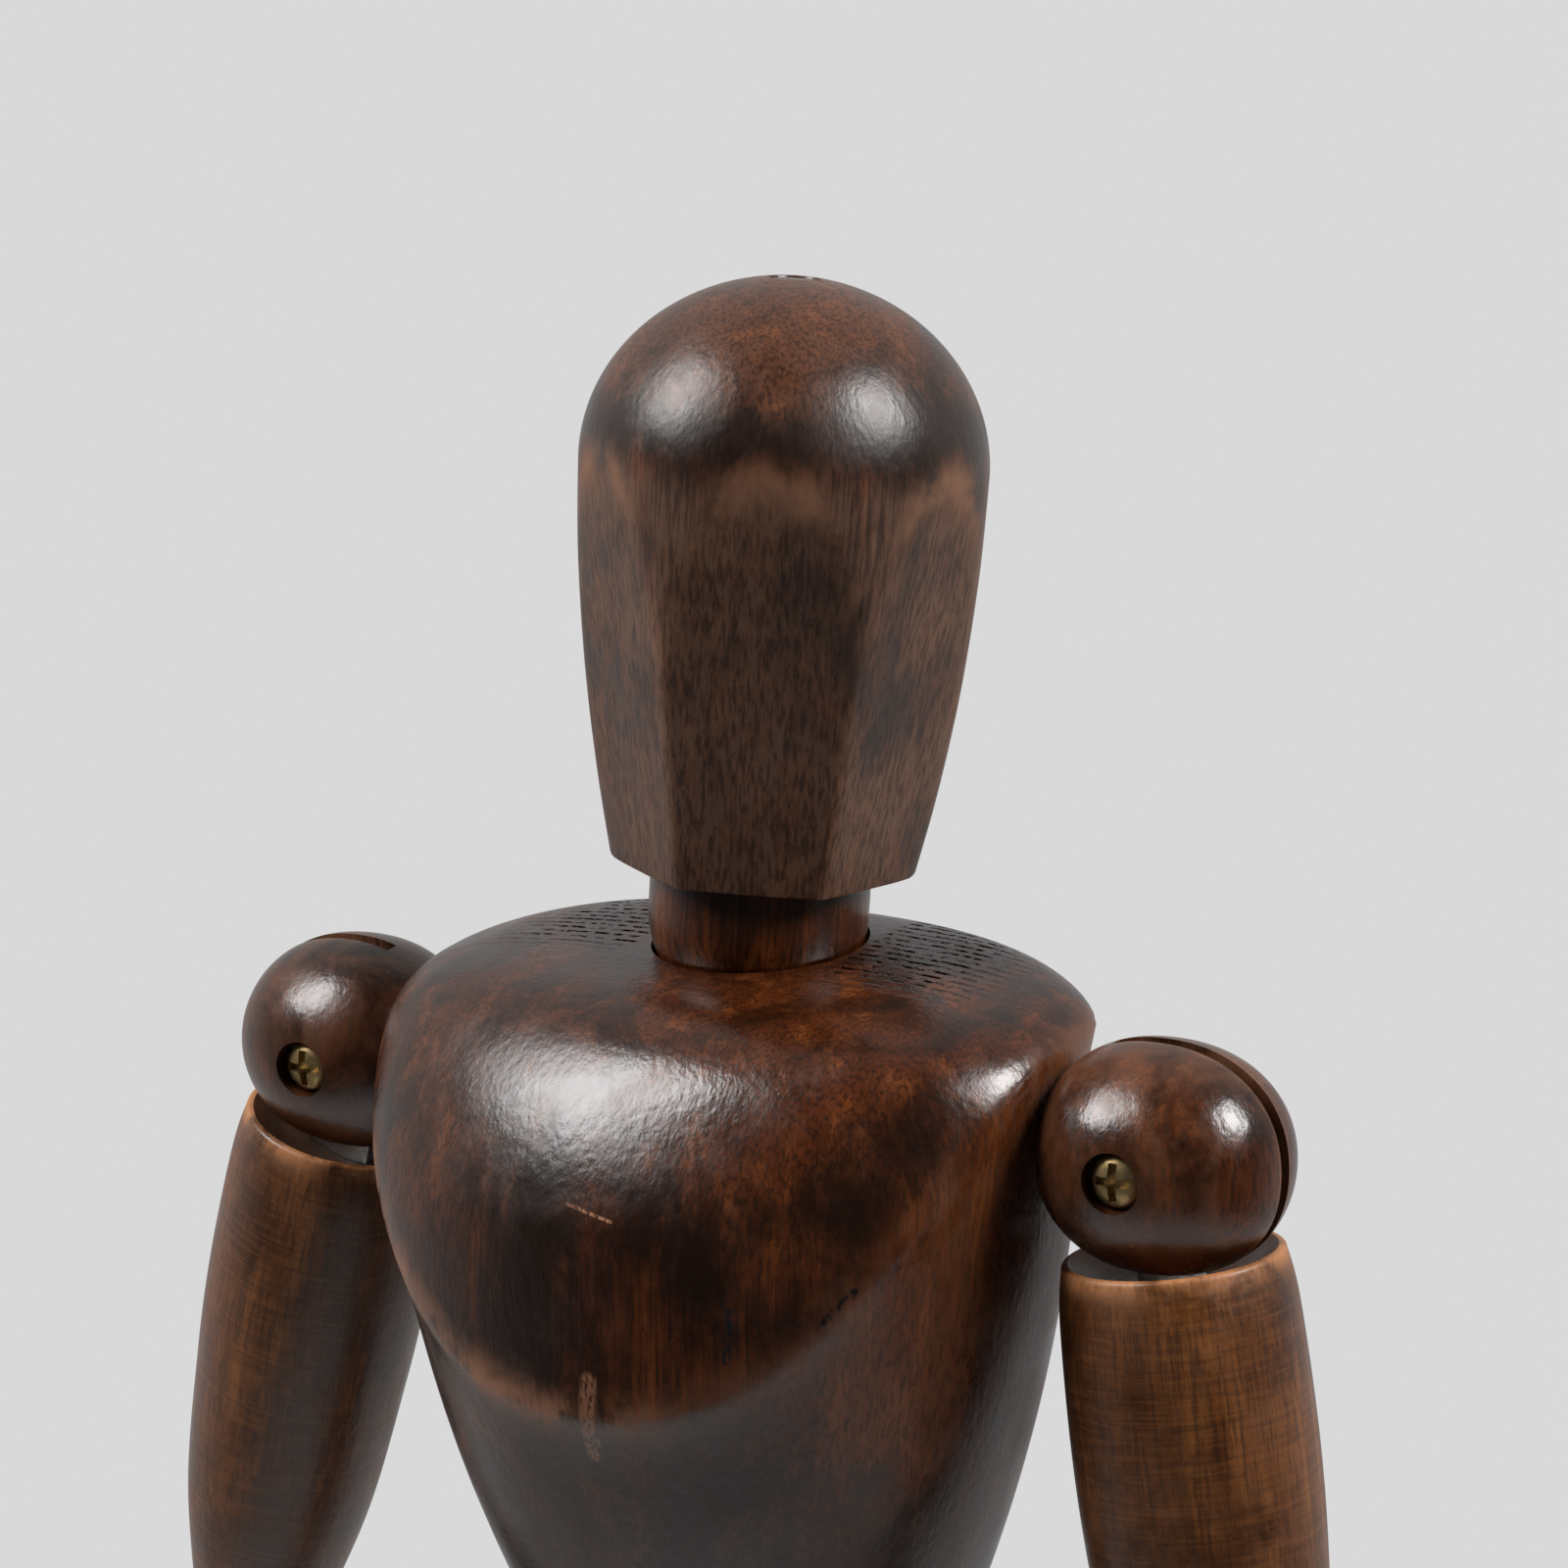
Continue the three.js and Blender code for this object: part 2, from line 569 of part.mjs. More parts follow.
// Chest, about the neck axis at its top
const chest = new THREE.Group();
chest.position.set(0, NECK_BEHIND_WAIST, chestTopZ);
part.add(chest);
const shoulderY = -SHOULDER_AHEAD_OF_WAIST - NECK_BEHIND_WAIST;
const waistDrop = -CHEST_HEIGHT - WAIST_OPENING / 2;
const upperPinZ = waistDrop + PIN_FROM_WAIST;
const shoulderAxleAt = [0, shoulderY, -SHOULDER_DROP];
const chestBody = carved(chestForm, [0, -8, -48], 36, 28)
  .subtract(ball(NECK_RADIUS + CUP_GAP, [0, 0, NECK_BALL_RISE]))
  .subtract(bar("z", springRoom + 2.5, -SHOULDER_DROP, -NECK_RADIUS * 0.5))
  .subtract(bar("x", AXLE_DIAMETER / 2 + MORTISE_GAP, -SHOULDER_OUT, SHOULDER_OUT, shoulderAxleAt))
  .subtract(ball(WAIST_BALL_RADIUS + CUP_GAP, [0, -NECK_BEHIND_WAIST, waistDrop]))
  .subtract(bar("z", springRoom, waistDrop, upperPinZ + 3, [0, -NECK_BEHIND_WAIST, 0]))
  .subtract(bar("y", pinHoleRadius, pinFront - SEAT_GAP, CHEST_FRONT, [0, -NECK_BEHIND_WAIST, upperPinZ]));
addPiece(chest, "chest", chestBody, darkWood);
const upperPin = bar("y", PIN_DIAMETER / 2, pinFront, pinEnd, [0, -NECK_BEHIND_WAIST, upperPinZ]);
addPiece(chest, "waist_pin_upper", upperPin, steel);
const shoulderAxleEnd = CHEST_HALF_WIDTH + AXLE_DEPTH_IN_BARREL;
const shoulderAxle = bar("x", AXLE_DIAMETER / 2, -shoulderAxleEnd, shoulderAxleEnd, shoulderAxleAt);
addPiece(chest, "shoulder_rod", shoulderAxle, steel);

// Neck and head, leaned about the neck ball, the head turned on the neck
const neck = new THREE.Group();
neck.position.set(0, NECK_BEHIND_WAIST, neckBallZ);
neck.rotation.set(-radians(NECK_NOD), radians(NECK_LEAN), 0, "YXZ");
part.add(neck);
const neckTop = NECK_HEIGHT - NECK_BALL_RISE + NECK_SOCKET_DEPTH - SEAT_GAP;
const boltHole = BOLT_DIAMETER / 2 + TURN_GAP;
const flare = NECK_RADIUS * 0.62;
const neckBody = turned([
  ...arc(NECK_RADIUS, flare, NECK_RADIUS, 0, -1, 7),
  [NECK_RADIUS, neckTop - 0.5],
  [NECK_RADIUS - 0.5, neckTop],
  [boltHole, neckTop],
  [boltHole, 2],
  [springRoom, 2],
  ...arc(NECK_RADIUS, flare, flare, 0, -1, 1).slice(0, 1),
], 18);
addPiece(neck, "neck", neckBody, darkWood);
const neckSpringFoot = -NECK_BALL_RISE - SHOULDER_DROP + AXLE_DIAMETER / 2 + SEAT_GAP;
const neckSpring = spring(SPRING_COIL_RADIUS, SPRING_WIRE_RADIUS, neckSpringFoot, 1.2, SPRING_PITCH);
addPiece(neck, "neck_spring", neckSpring, steel);

const head = new THREE.Group();
head.position.set(0, 0, NECK_HEIGHT - NECK_BALL_RISE);
head.rotation.z = radians(HEAD_TURN);
neck.add(head);
const dome = Array.from({ length: 6 }, (_, i) => {
  const angle = (Math.PI / 12) * (i + 1);
  const rise = HEAD_HEIGHT - HEAD_WIDEST_HEIGHT;
  return [HEAD_RADIUS * Math.cos(angle), HEAD_WIDEST_HEIGHT + rise * Math.sin(angle)];
});
dome[dome.length - 1] = [0, HEAD_HEIGHT];
const swelling = HEAD_RADIUS - HEAD_FOOT_RADIUS;
const headProfile = [[0, 0], [HEAD_FOOT_RADIUS - 0.6, 0], ...smooth([
  [HEAD_FOOT_RADIUS, 0.6],
  [HEAD_FOOT_RADIUS + swelling * 0.36, HEAD_WIDEST_HEIGHT * 0.21],
  [HEAD_FOOT_RADIUS + swelling * 0.69, HEAD_WIDEST_HEIGHT * 0.46],
  [HEAD_FOOT_RADIUS + swelling * 0.92, HEAD_WIDEST_HEIGHT * 0.75],
  [HEAD_RADIUS, HEAD_WIDEST_HEIGHT],
], 5), ...dome];
const facetSlope = Math.atan((HEAD_RADIUS - FACET_FOOT_DISTANCE) / BROW_HEIGHT);
const boltSeat = HEAD_HEIGHT - PLUG_LENGTH - SEAT_GAP - BOLT_HEAD_HEIGHT - SEAT_GAP;
const wellRadius = PLUG_DIAMETER / 2 + MORTISE_GAP;
let headBody = turned(headProfile, 24);
for (const turn of [-1, 0, 1]) {
  const shaving = new THREE.BoxGeometry(90, 40, 160);
  shaving.translate(0, -20, 0).rotateX(facetSlope).translate(0, -FACET_FOOT_DISTANCE, 0);
  headBody = headBody.subtract(solid(shaving.rotateZ(radians(turn * FACET_SPACING))));
}
headBody = headBody
  .subtract(bar("z", NECK_RADIUS + SEAT_GAP + 0.2, -2, NECK_SOCKET_DEPTH, [0, 0, 0], 20))
  .subtract(bar("z", boltHole, -2, HEAD_HEIGHT))
  .subtract(bar("z", wellRadius, boltSeat, HEAD_HEIGHT + 2));
addPiece(head, "head", headBody, darkWood);
const plugFoot = HEAD_HEIGHT - PLUG_LENGTH;
const plug = turned([
  [0, plugFoot],
  [PLUG_DIAMETER / 2, plugFoot],
  [PLUG_DIAMETER / 2, HEAD_HEIGHT - 0.5],
  [PLUG_DIAMETER / 4, HEAD_HEIGHT - 0.2],
  [0, HEAD_HEIGHT],
], 16);
addPiece(head, "crown_plug", plug, darkWood);
const bolt = turned([
  [0, -NECK_HEIGHT],
  [BOLT_DIAMETER / 2, -NECK_HEIGHT],
  [BOLT_DIAMETER / 2, boltSeat + SEAT_GAP],
  [PLUG_DIAMETER / 2 - 0.1, boltSeat + SEAT_GAP],
  [PLUG_DIAMETER / 2 - 0.1, boltSeat + SEAT_GAP + BOLT_HEAD_HEIGHT],
  [0, boltSeat + SEAT_GAP + BOLT_HEAD_HEIGHT],
], 16);
addPiece(head, "neck_bolt", bolt, steel);

// One arm, hung from its shoulder joint
function addArm(name, side, spread, swingBack) {
  const shoulder = new THREE.Group();
  shoulder.position.set(side * SHOULDER_OUT, -SHOULDER_AHEAD_OF_WAIST, shoulderZ);
  shoulder.rotation.x = radians(swingBack);
  part.add(shoulder);
  const headTop = SHOULDER_RADIUS - 0.9;
  const tip = -SHOULDER_RADIUS * 0.6;
  const shoulderBarrel = slottedBarrel(
    SHOULDER_RADIUS, SHOULDER_REACH, shoulderInner, WIDE_EYE, SHOULDER_SHANK, headTop, tip,
  );
  addPiece(shoulder, `${name}_shoulder_barrel`, shoulderBarrel, darkWood, side);
  addPiece(shoulder, `${name}_shoulder_screw`, quarterTurn(screw(SHOULDER_SHANK, headTop, tip)), brass, side);

  const arm = new THREE.Group();
  arm.rotation.y = -side * radians(spread);
  shoulder.add(arm);
  const armFoot = armDish + TONGUE_DEPTH;
  const armTongue = quarterTurn(tongue(WIDE_EYE, SHOULDER_SHANK, armFoot));
  addPiece(arm, `${name}_upper_arm_tongue`, armTongue, steel, side);
  const elbowSpigotTop = ELBOW_RADIUS + 12;
  const elbowHoleTop = -UPPER_ARM_LENGTH + elbowSpigotTop + SEAT_GAP;
  const armBody = limb(armDish, UPPER_ARM_RIM, UPPER_ARM_BELLY, UPPER_ARM_END, UPPER_ARM_LENGTH, elbowDish, 26)
    .subtract(quarterTurn(mortise(WIDE_EYE, armDish, armFoot)))
    .subtract(bar("z", ELBOW_SPIGOT + TURN_GAP, -UPPER_ARM_LENGTH, elbowHoleTop));
  addPiece(arm, `${name}_upper_arm`, armBody, armWood, side);

  const elbow = new THREE.Group();
  elbow.position.z = -UPPER_ARM_LENGTH;
  arm.add(elbow);
  const elbowHead = ELBOW_RADIUS - 1;
  const elbowTip = -ELBOW_RADIUS * 0.6;
  const elbowSlot = bentSlot(ELBOW_RADIUS, MIDDLE_EYE, -1);
  const elbowBall = slottedBall(
    ELBOW_RADIUS, ELBOW_SPIGOT, elbowSpigotTop, elbowSlot, ELBOW_SHANK, elbowHead, elbowTip,
  );
  addPiece(elbow, `${name}_elbow_ball`, elbowBall, darkWood, side);
  addPiece(elbow, `${name}_elbow_screw`, screw(ELBOW_SHANK, elbowHead, elbowTip), brass, side);
  const lower = new THREE.Group();
  lower.rotation.x = -radians(ELBOW_BEND);
  elbow.add(lower);
  const forearmFoot = elbowDish + TONGUE_DEPTH;
  addPiece(lower, `${name}_forearm_tongue`, tongue(MIDDLE_EYE, ELBOW_SHANK, forearmFoot), steel, side);
  const wristSpigotTop = WRIST_RADIUS + 9;
  const forearm = limb(elbowDish, FOREARM_RIM, FOREARM_BELLY, FOREARM_END, FOREARM_LENGTH, wristDish, 21)
    .subtract(mortise(MIDDLE_EYE, elbowDish, forearmFoot))
    .subtract(bar("z", WRIST_SPIGOT + TURN_GAP, -FOREARM_LENGTH, -FOREARM_LENGTH + wristSpigotTop + SEAT_GAP));
  addPiece(lower, `${name}_forearm`, forearm, armWood, side);

  const wrist = new THREE.Group();
  wrist.position.z = -FOREARM_LENGTH;
  lower.add(wrist);
  const wristHead = WRIST_RADIUS - 0.6;
  const wristTip = -WRIST_RADIUS * 0.6;
  const wristSlot = block(
    [-TONGUE_THICKNESS / 2 - SLOT_GAP, TONGUE_THICKNESS / 2 + SLOT_GAP],
    [-WRIST_RADIUS - 2, WRIST_RADIUS + 2],
    [-WRIST_RADIUS - 2, SMALL_EYE + TURN_GAP],
  );
  const wristBall = quarterTurn(
    slottedBall(WRIST_RADIUS, WRIST_SPIGOT, wristSpigotTop, wristSlot, WRIST_SHANK, wristHead, wristTip),
  );
  addPiece(wrist, `${name}_wrist_ball`, wristBall, darkWood, side);
  addPiece(wrist, `${name}_wrist_screw`, quarterTurn(screw(WRIST_SHANK, wristHead, wristTip)), brass, side);
  const half = HAND_WIDTH / 2;
  const mitten = new THREE.Shape();
  mitten.moveTo(-6, -4);
  mitten.lineTo(6, -4);
  mitten.quadraticCurveTo(half, -12, half, -24);
  mitten.quadraticCurveTo(half, -HAND_LENGTH * 0.75, 4, -HAND_LENGTH);
  mitten.lineTo(-2, -HAND_LENGTH);
  mitten.quadraticCurveTo(-half + 1, -HAND_LENGTH * 0.75, -half + 1.5, -29);
  mitten.lineTo(-half - 4, -38);
  mitten.lineTo(-half - 8, -36);
  mitten.quadraticCurveTo(-half - 3, -18, -6, -4);
  const handBody = plateAcross(mitten, HAND_THICKNESS, 2.4)
    .subtract(ball(wristDish, [0, 0, 0], 14))
    .add(quarterTurn(tongue(SMALL_EYE, WRIST_SHANK, wristDish + 4)));
  addPiece(wrist, `${name}_hand`, handBody, armWood, side);
}

addArm("left", 1, LEFT_SPREAD, 0);
addArm("right", -1, RIGHT_SPREAD, RIGHT_SWING_BACK);

// One leg, hung from its hip joint
function addLeg(name, side) {
  const hip = new THREE.Group();
  hip.position.set(side * HIP_OUT, 0, hipZ);
  part.add(hip);
  const headTop = HIP_RADIUS - 0.9;
  const tip = -HIP_RADIUS * 0.6;
  const hipBarrel = slottedBarrel(HIP_RADIUS, HIP_REACH, hipInner, WIDE_EYE, HIP_SHANK, headTop, tip);
  addPiece(hip, `${name}_hip_barrel`, hipBarrel, darkWood, side);
  addPiece(hip, `${name}_hip_screw`, quarterTurn(screw(HIP_SHANK, headTop, tip)), brass, side);
  const thighFoot = thighDish + TONGUE_DEPTH;
  addPiece(hip, `${name}_thigh_tongue`, quarterTurn(tongue(WIDE_EYE, HIP_SHANK, thighFoot)), steel, side);
  const kneeSpigotTop = KNEE_RADIUS + 14;
  const thigh = limb(thighDish, THIGH_RIM, THIGH_BELLY, THIGH_END, THIGH_LENGTH, kneeDish, 34)
    .subtract(quarterTurn(mortise(WIDE_EYE, thighDish, thighFoot)))
    .subtract(bar("z", KNEE_SPIGOT + TURN_GAP, -THIGH_LENGTH, -THIGH_LENGTH + kneeSpigotTop + SEAT_GAP));
  addPiece(hip, `${name}_thigh`, thigh, armWood, side);

  const knee = new THREE.Group();
  knee.position.z = -THIGH_LENGTH;
  hip.add(knee);
  const kneeHead = KNEE_RADIUS - 1.2;
  const kneeTip = -KNEE_RADIUS * 0.6;
  const kneeSlot = bentSlot(KNEE_RADIUS, WIDE_EYE, 1);
  const kneeBall = slottedBall(
    KNEE_RADIUS, KNEE_SPIGOT, kneeSpigotTop, kneeSlot, KNEE_SHANK, kneeHead, kneeTip,
  );
  addPiece(knee, `${name}_knee_ball`, kneeBall, darkWood, side);
  addPiece(knee, `${name}_knee_screw`, screw(KNEE_SHANK, kneeHead, kneeTip), brass, side);
  const shinFoot = kneeDish + TONGUE_DEPTH;
  addPiece(knee, `${name}_shin_tongue`, tongue(WIDE_EYE, KNEE_SHANK, shinFoot), steel, side);
  const ankleSpigotTop = ANKLE_RADIUS + 11;
  const shin = limb(kneeDish, SHIN_RIM, SHIN_BELLY, SHIN_END, SHIN_LENGTH, ankleDish, 34)
    .subtract(mortise(WIDE_EYE, kneeDish, shinFoot))
    .subtract(bar("z", ANKLE_SPIGOT + TURN_GAP, -SHIN_LENGTH, -SHIN_LENGTH + ankleSpigotTop + SEAT_GAP));
  addPiece(knee, `${name}_shin`, shin, armWood, side);

  const ankle = new THREE.Group();
  ankle.position.z = -SHIN_LENGTH;
  knee.add(ankle);
  const ankleHead = ANKLE_RADIUS - 0.8;
  const ankleTip = -ANKLE_RADIUS * 0.6;
  const ankleSlot = block(
    [-TONGUE_THICKNESS / 2 - SLOT_GAP, TONGUE_THICKNESS / 2 + SLOT_GAP],
    [-ANKLE_RADIUS - 2, ANKLE_RADIUS + 2],
    [-ANKLE_RADIUS - 2, SMALL_EYE + TURN_GAP + 0.6],
  );
  const ankleBall = slottedBall(
    ANKLE_RADIUS, ANKLE_SPIGOT, ankleSpigotTop, ankleSlot, ANKLE_SHANK, ankleHead, ankleTip,
  );
  addPiece(ankle, `${name}_ankle_ball`, ankleBall, darkWood, side);
  addPiece(ankle, `${name}_ankle_screw`, screw(ANKLE_SHANK, ankleHead, ankleTip), brass, side);
  const sideView = new THREE.Shape();
  sideView.moveTo(-FOOT_TOE, -ANKLE_ABOVE_SOLE);
  sideView.lineTo(FOOT_HEEL, -ANKLE_ABOVE_SOLE);
  sideView.quadraticCurveTo(FOOT_HEEL + 1, -14, 10, -4.5);
  sideView.lineTo(-10, -4.5);
  sideView.quadraticCurveTo(-26, -13, -FOOT_TOE + 8, -ANKLE_ABOVE_SOLE + 10);
  sideView.quadraticCurveTo(-FOOT_TOE, -ANKLE_ABOVE_SOLE + 8, -FOOT_TOE, -ANKLE_ABOVE_SOLE);
  const sole = new THREE.Shape();
  const half = FOOT_WIDTH / 2;
  sole.moveTo(0, FOOT_HEEL);
  sole.bezierCurveTo(half * 0.9, FOOT_HEEL, half * 0.75, 4, half * 0.78, -8);
  sole.bezierCurveTo(half * 0.85, -24, half, -30, half, -42);
  sole.bezierCurveTo(half, -54, half * 0.5, -FOOT_TOE, -1, -FOOT_TOE);
  sole.bezierCurveTo(-half * 0.9, -FOOT_TOE, -half, -50, -half, -38);
  sole.bezierCurveTo(-half, -26, -half * 0.75, -20, -half * 0.75, -8);
  sole.bezierCurveTo(-half * 0.75, 4, -half * 0.9, FOOT_HEEL, 0, FOOT_HEEL);
  const soleBlank = new THREE.ExtrudeGeometry(sole, { depth: 40, bevelEnabled: false, curveSegments: 4 });
  soleBlank.translate(0, 0, -ANKLE_ABOVE_SOLE);
  const instep = new THREE.Shape();
  instep.moveTo(-half - 1, -ANKLE_ABOVE_SOLE - 1);
  instep.lineTo(half + 1, -ANKLE_ABOVE_SOLE - 1);
  instep.lineTo(half + 1, -ANKLE_ABOVE_SOLE + 6);
  instep.quadraticCurveTo(half - 1, -9, 7, -3);
  instep.lineTo(-7, -3);
  instep.quadraticCurveTo(-half + 1, -9, -half - 1, -ANKLE_ABOVE_SOLE + 6);
  const foot = plateAcross(sideView, FOOT_WIDTH + 8)
    .intersect(solid(soleBlank))
    .intersect(quarterTurn(plateAcross(instep, 2 * FOOT_TOE + 8)))
    .subtract(ball(ankleDish, [0, 0, 0], 14))
    .add(tongue(SMALL_EYE, ANKLE_SHANK, ankleDish + 4));
  addPiece(ankle, `${name}_foot`, foot, armWood, side);
}

addLeg("left", 1);
addLeg("right", -1);

export default part;
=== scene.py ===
import math

import bpy
import numpy as np
from mathutils import Matrix, Vector


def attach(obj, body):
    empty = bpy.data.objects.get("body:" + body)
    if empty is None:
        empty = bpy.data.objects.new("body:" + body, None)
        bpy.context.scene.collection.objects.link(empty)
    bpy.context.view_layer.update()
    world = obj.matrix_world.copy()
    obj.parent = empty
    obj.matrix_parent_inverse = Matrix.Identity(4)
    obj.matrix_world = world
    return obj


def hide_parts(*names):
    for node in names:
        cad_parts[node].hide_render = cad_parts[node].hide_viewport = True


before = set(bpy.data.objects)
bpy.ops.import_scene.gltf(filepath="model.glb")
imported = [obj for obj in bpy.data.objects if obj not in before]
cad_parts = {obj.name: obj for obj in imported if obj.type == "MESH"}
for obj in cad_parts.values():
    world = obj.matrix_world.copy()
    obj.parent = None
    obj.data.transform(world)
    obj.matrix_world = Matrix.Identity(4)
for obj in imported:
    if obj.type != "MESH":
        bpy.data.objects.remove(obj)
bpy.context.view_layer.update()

# Sizes in millimetres; the figure faces -Y and its left is +X
HIP_Z = 374.0
WAIST_Z = 440.0
SHOULDER_Z = 540.5
CHEST_TOP_Z = 561.0
NECK_BALL_Z = 565.0
NECK_BEHIND_WAIST = 3.0
SHOULDER_AHEAD_OF_WAIST = 2.5
ROD_BEHIND_HIPS = 10.0

CHEST_HEIGHT = 112.0
CHEST_HALF_WIDTH = 50.0
CHEST_FRONT = 48.5
CHEST_BACK = 24.0
CHEST_FOOT_HALF_WIDTH = 23.0
CHEST_FOOT_FRONT = 24.0
CHEST_FOOT_BACK = 16.0
CHEST_AXIS_AHEAD = 4.0
BREAST_DROP = 31.5
BREAST_TOP_SHARE = 0.66
BREAST_CURVE = 1.4
BREAST_BLEND = 0.14
CROWN_FALL = 2.6
CROWN_CURVE = 3.4
CROWN_SLOPE = 0.09
CROWN_ROUNDING = 4.5
RIDGE_ROUNDING = 0.3
CREASE_DEPTH = 0.8
CREASE_REACH = 2.0
OVAL_POWER = 2.2

HEAD_HEIGHT = 80.0
HEAD_RADIUS = 27.4
HEAD_FOOT_RADIUS = 21.0
HEAD_WIDEST = 55.0
BROW_HEIGHT = 57.0
FACE_TOP = 54.0
FACET_FOOT = 17.6
FACET_ROUNDING = 0.7
FACET_SPACING = math.radians(58.0)
NECK_RADIUS = 15.0
NECK_TO_HEAD = 6.0
WAIST_BALL_RADIUS = 19.0
CUP_GAP = 0.5
SPRING_ROOM = 11.8

SHOULDER_OUT = 63.5
SHOULDER_RADIUS, SHOULDER_REACH, SHOULDER_INNER = 15.3, 17.4, 13.2
UPPER_ARM_LENGTH, FOREARM_LENGTH = 112.0, 92.0
UPPER_ARM_RIM, UPPER_ARM_RIM_DROP = 13.7, 12.9
ELBOW_RADIUS, WRIST_RADIUS = 11.5, 7.0
HIP_OUT = 36.0
HIP_RADIUS, HIP_REACH, HIP_INNER = 17.0, 19.5, 18.7
THIGH_LENGTH, SHIN_LENGTH = 150.0, 148.0
THIGH_RIM, THIGH_RIM_DROP = 15.2, 14.6
KNEE_RADIUS, ANKLE_RADIUS = 14.5, 9.0
DISH_GAP = 0.8
TONGUE_DEPTH = 12.0
TONGUE_HALF = 1.0
SLOT_HALF = 1.2
FIT_GAP = 0.15
WIDE_EYE, MIDDLE_EYE, SMALL_EYE = 5.0, 4.4, 2.9

BASE_RADIUS, BASE_HEIGHT, BASE_ROUNDING = 95.0, 22.0, 6.0
ROD_RADIUS = 4.0
ROD_FOOT, ROD_TOP = 5.3, 402.0
ROD_HOLE = 4.35

# Rest pose in degrees
HEAD_TURN = 26.0
NECK_LEAN = 3.6
NECK_NOD = 2.0
ELBOW_BEND = 28.0


# Small helpers


def move(x, y, z):
    return Matrix.Translation((x, y, z))


def turn(degrees, axis):
    return Matrix.Rotation(math.radians(degrees), 4, axis)


def smooth_curve(knots, steps):
    """Points of an even Catmull-Rom curve through [radius, height] knots."""
    knots = np.array(knots, float)
    out = []
    for i in range(steps + 1):
        place = (len(knots) - 1) * i / steps
        k = min(int(place), len(knots) - 2)
        t = place - k
        p0, p1 = knots[max(k - 1, 0)], knots[k]
        p2, p3 = knots[k + 1], knots[min(k + 2, len(knots) - 1)]
        v0, v1 = (p2 - p0) / 2, (p3 - p1) / 2
        square, cube = t * t, t * t * t
        out.append(
            (2 * p1 - 2 * p2 + v0 + v1) * cube
            + (-3 * p1 + 3 * p2 - 2 * v0 - v1) * square
            + v0 * t
            + p1
        )
    return [list(p) for p in out]


def arc(reach, from_radius, to_radius, centre, direction, steps=16):
    start, end = math.asin(from_radius / reach), math.asin(to_radius / reach)
    angles = [start + (end - start) * i / steps for i in range(steps + 1)]
    return [[reach * math.sin(a), centre + direction * reach * math.cos(a)] for a in angles]


def mesh_object(name, points, edges, faces):
    mesh = bpy.data.meshes.new(name)
    mesh.from_pydata([tuple(p) for p in points], edges, faces)
    obj = bpy.data.objects.new(name, mesh)
    bpy.context.scene.collection.objects.link(obj)
    return obj


def only(obj):
    bpy.ops.object.select_all(action="DESELECT")
    obj.select_set(True)
    bpy.context.view_layer.objects.active = obj


def face_out(obj):
    only(obj)
    bpy.ops.object.mode_set(mode="EDIT")
    bpy.ops.mesh.select_all(action="SELECT")
    bpy.ops.mesh.remove_doubles(threshold=0.004)
    bpy.ops.mesh.normals_make_consistent(inside=False)
    bpy.ops.object.mode_set(mode="OBJECT")


def lathe(name, profile, segments=96):
    """Piece turned about Z from [radius, height] points."""
    points = [(max(r, 0.0), 0.0, z) for r, z in profile]
    obj = mesh_object(name, points, [(i, i + 1) for i in range(len(points) - 1)], [])
    only(obj)
    bpy.ops.object.mode_set(mode="EDIT")
    bpy.ops.mesh.select_all(action="SELECT")
    bpy.ops.mesh.spin(steps=segments, angle=2 * math.pi, center=(0, 0, 0), axis=(0, 0, 1))
    bpy.ops.object.mode_set(mode="OBJECT")
    face_out(obj)
    return obj


def lathe_across(name, profile, segments=96):
    """Piece turned about X."""
    obj = lathe(name, profile, segments)
    obj.data.transform(turn(90, "Y"))
    return obj


def box_mesh(name, x, y, z):
    points = [(a, b, c) for a in x for b in y for c in z]
    faces = [(0, 1, 3, 2), (4, 6, 7, 5), (0, 4, 5, 1), (2, 3, 7, 6), (0, 2, 6, 4), (1, 5, 7, 3)]
    obj = mesh_object(name, points, [], faces)
    face_out(obj)
    return obj


def use_boolean(obj, other, operation):
    only(obj)
    modifier = obj.modifiers.new("cut", "BOOLEAN")
    modifier.operation = operation
    modifier.solver = "EXACT"
    modifier.object = other
    bpy.ops.object.modifier_apply(modifier=modifier.name)
    bpy.data.objects.remove(other)
    return obj


def cut(obj, other):
    return use_boolean(obj, other, "DIFFERENCE")


def bar(name, radius, start, end, axis="Z", segments=48):
    obj = lathe(name, [[0, start], [radius, start], [radius, end], [0, end]], segments)
    if axis == "X":
        obj.data.transform(turn(90, "Y"))
    if axis == "Y":
        obj.data.transform(turn(-90, "X"))
    return obj


def soften(obj, width, degrees=40, segments=2):
    only(obj)
    modifier = obj.modifiers.new("edge", "BEVEL")
    modifier.width = width
    modifier.segments = segments
    modifier.limit_method = "ANGLE"
    modifier.angle_limit = math.radians(degrees)
    modifier.harden_normals = False
    bpy.ops.object.modifier_apply(modifier=modifier.name)
    return obj


def clip01(values):
    return np.clip(values, 0, 1)


def coordinates(obj):
    co = np.zeros(len(obj.data.vertices) * 3, np.float32)
    obj.data.vertices.foreach_get("co", co)
    return co.reshape(-1, 3)


def set_mark(obj, name, values):
    attribute = obj.data.attributes.new(name, "FLOAT", "POINT")
    attribute.data.foreach_set("value", np.asarray(values, np.float32))


# Materials: every one reads the piece's own coordinates from the "grain" attribute


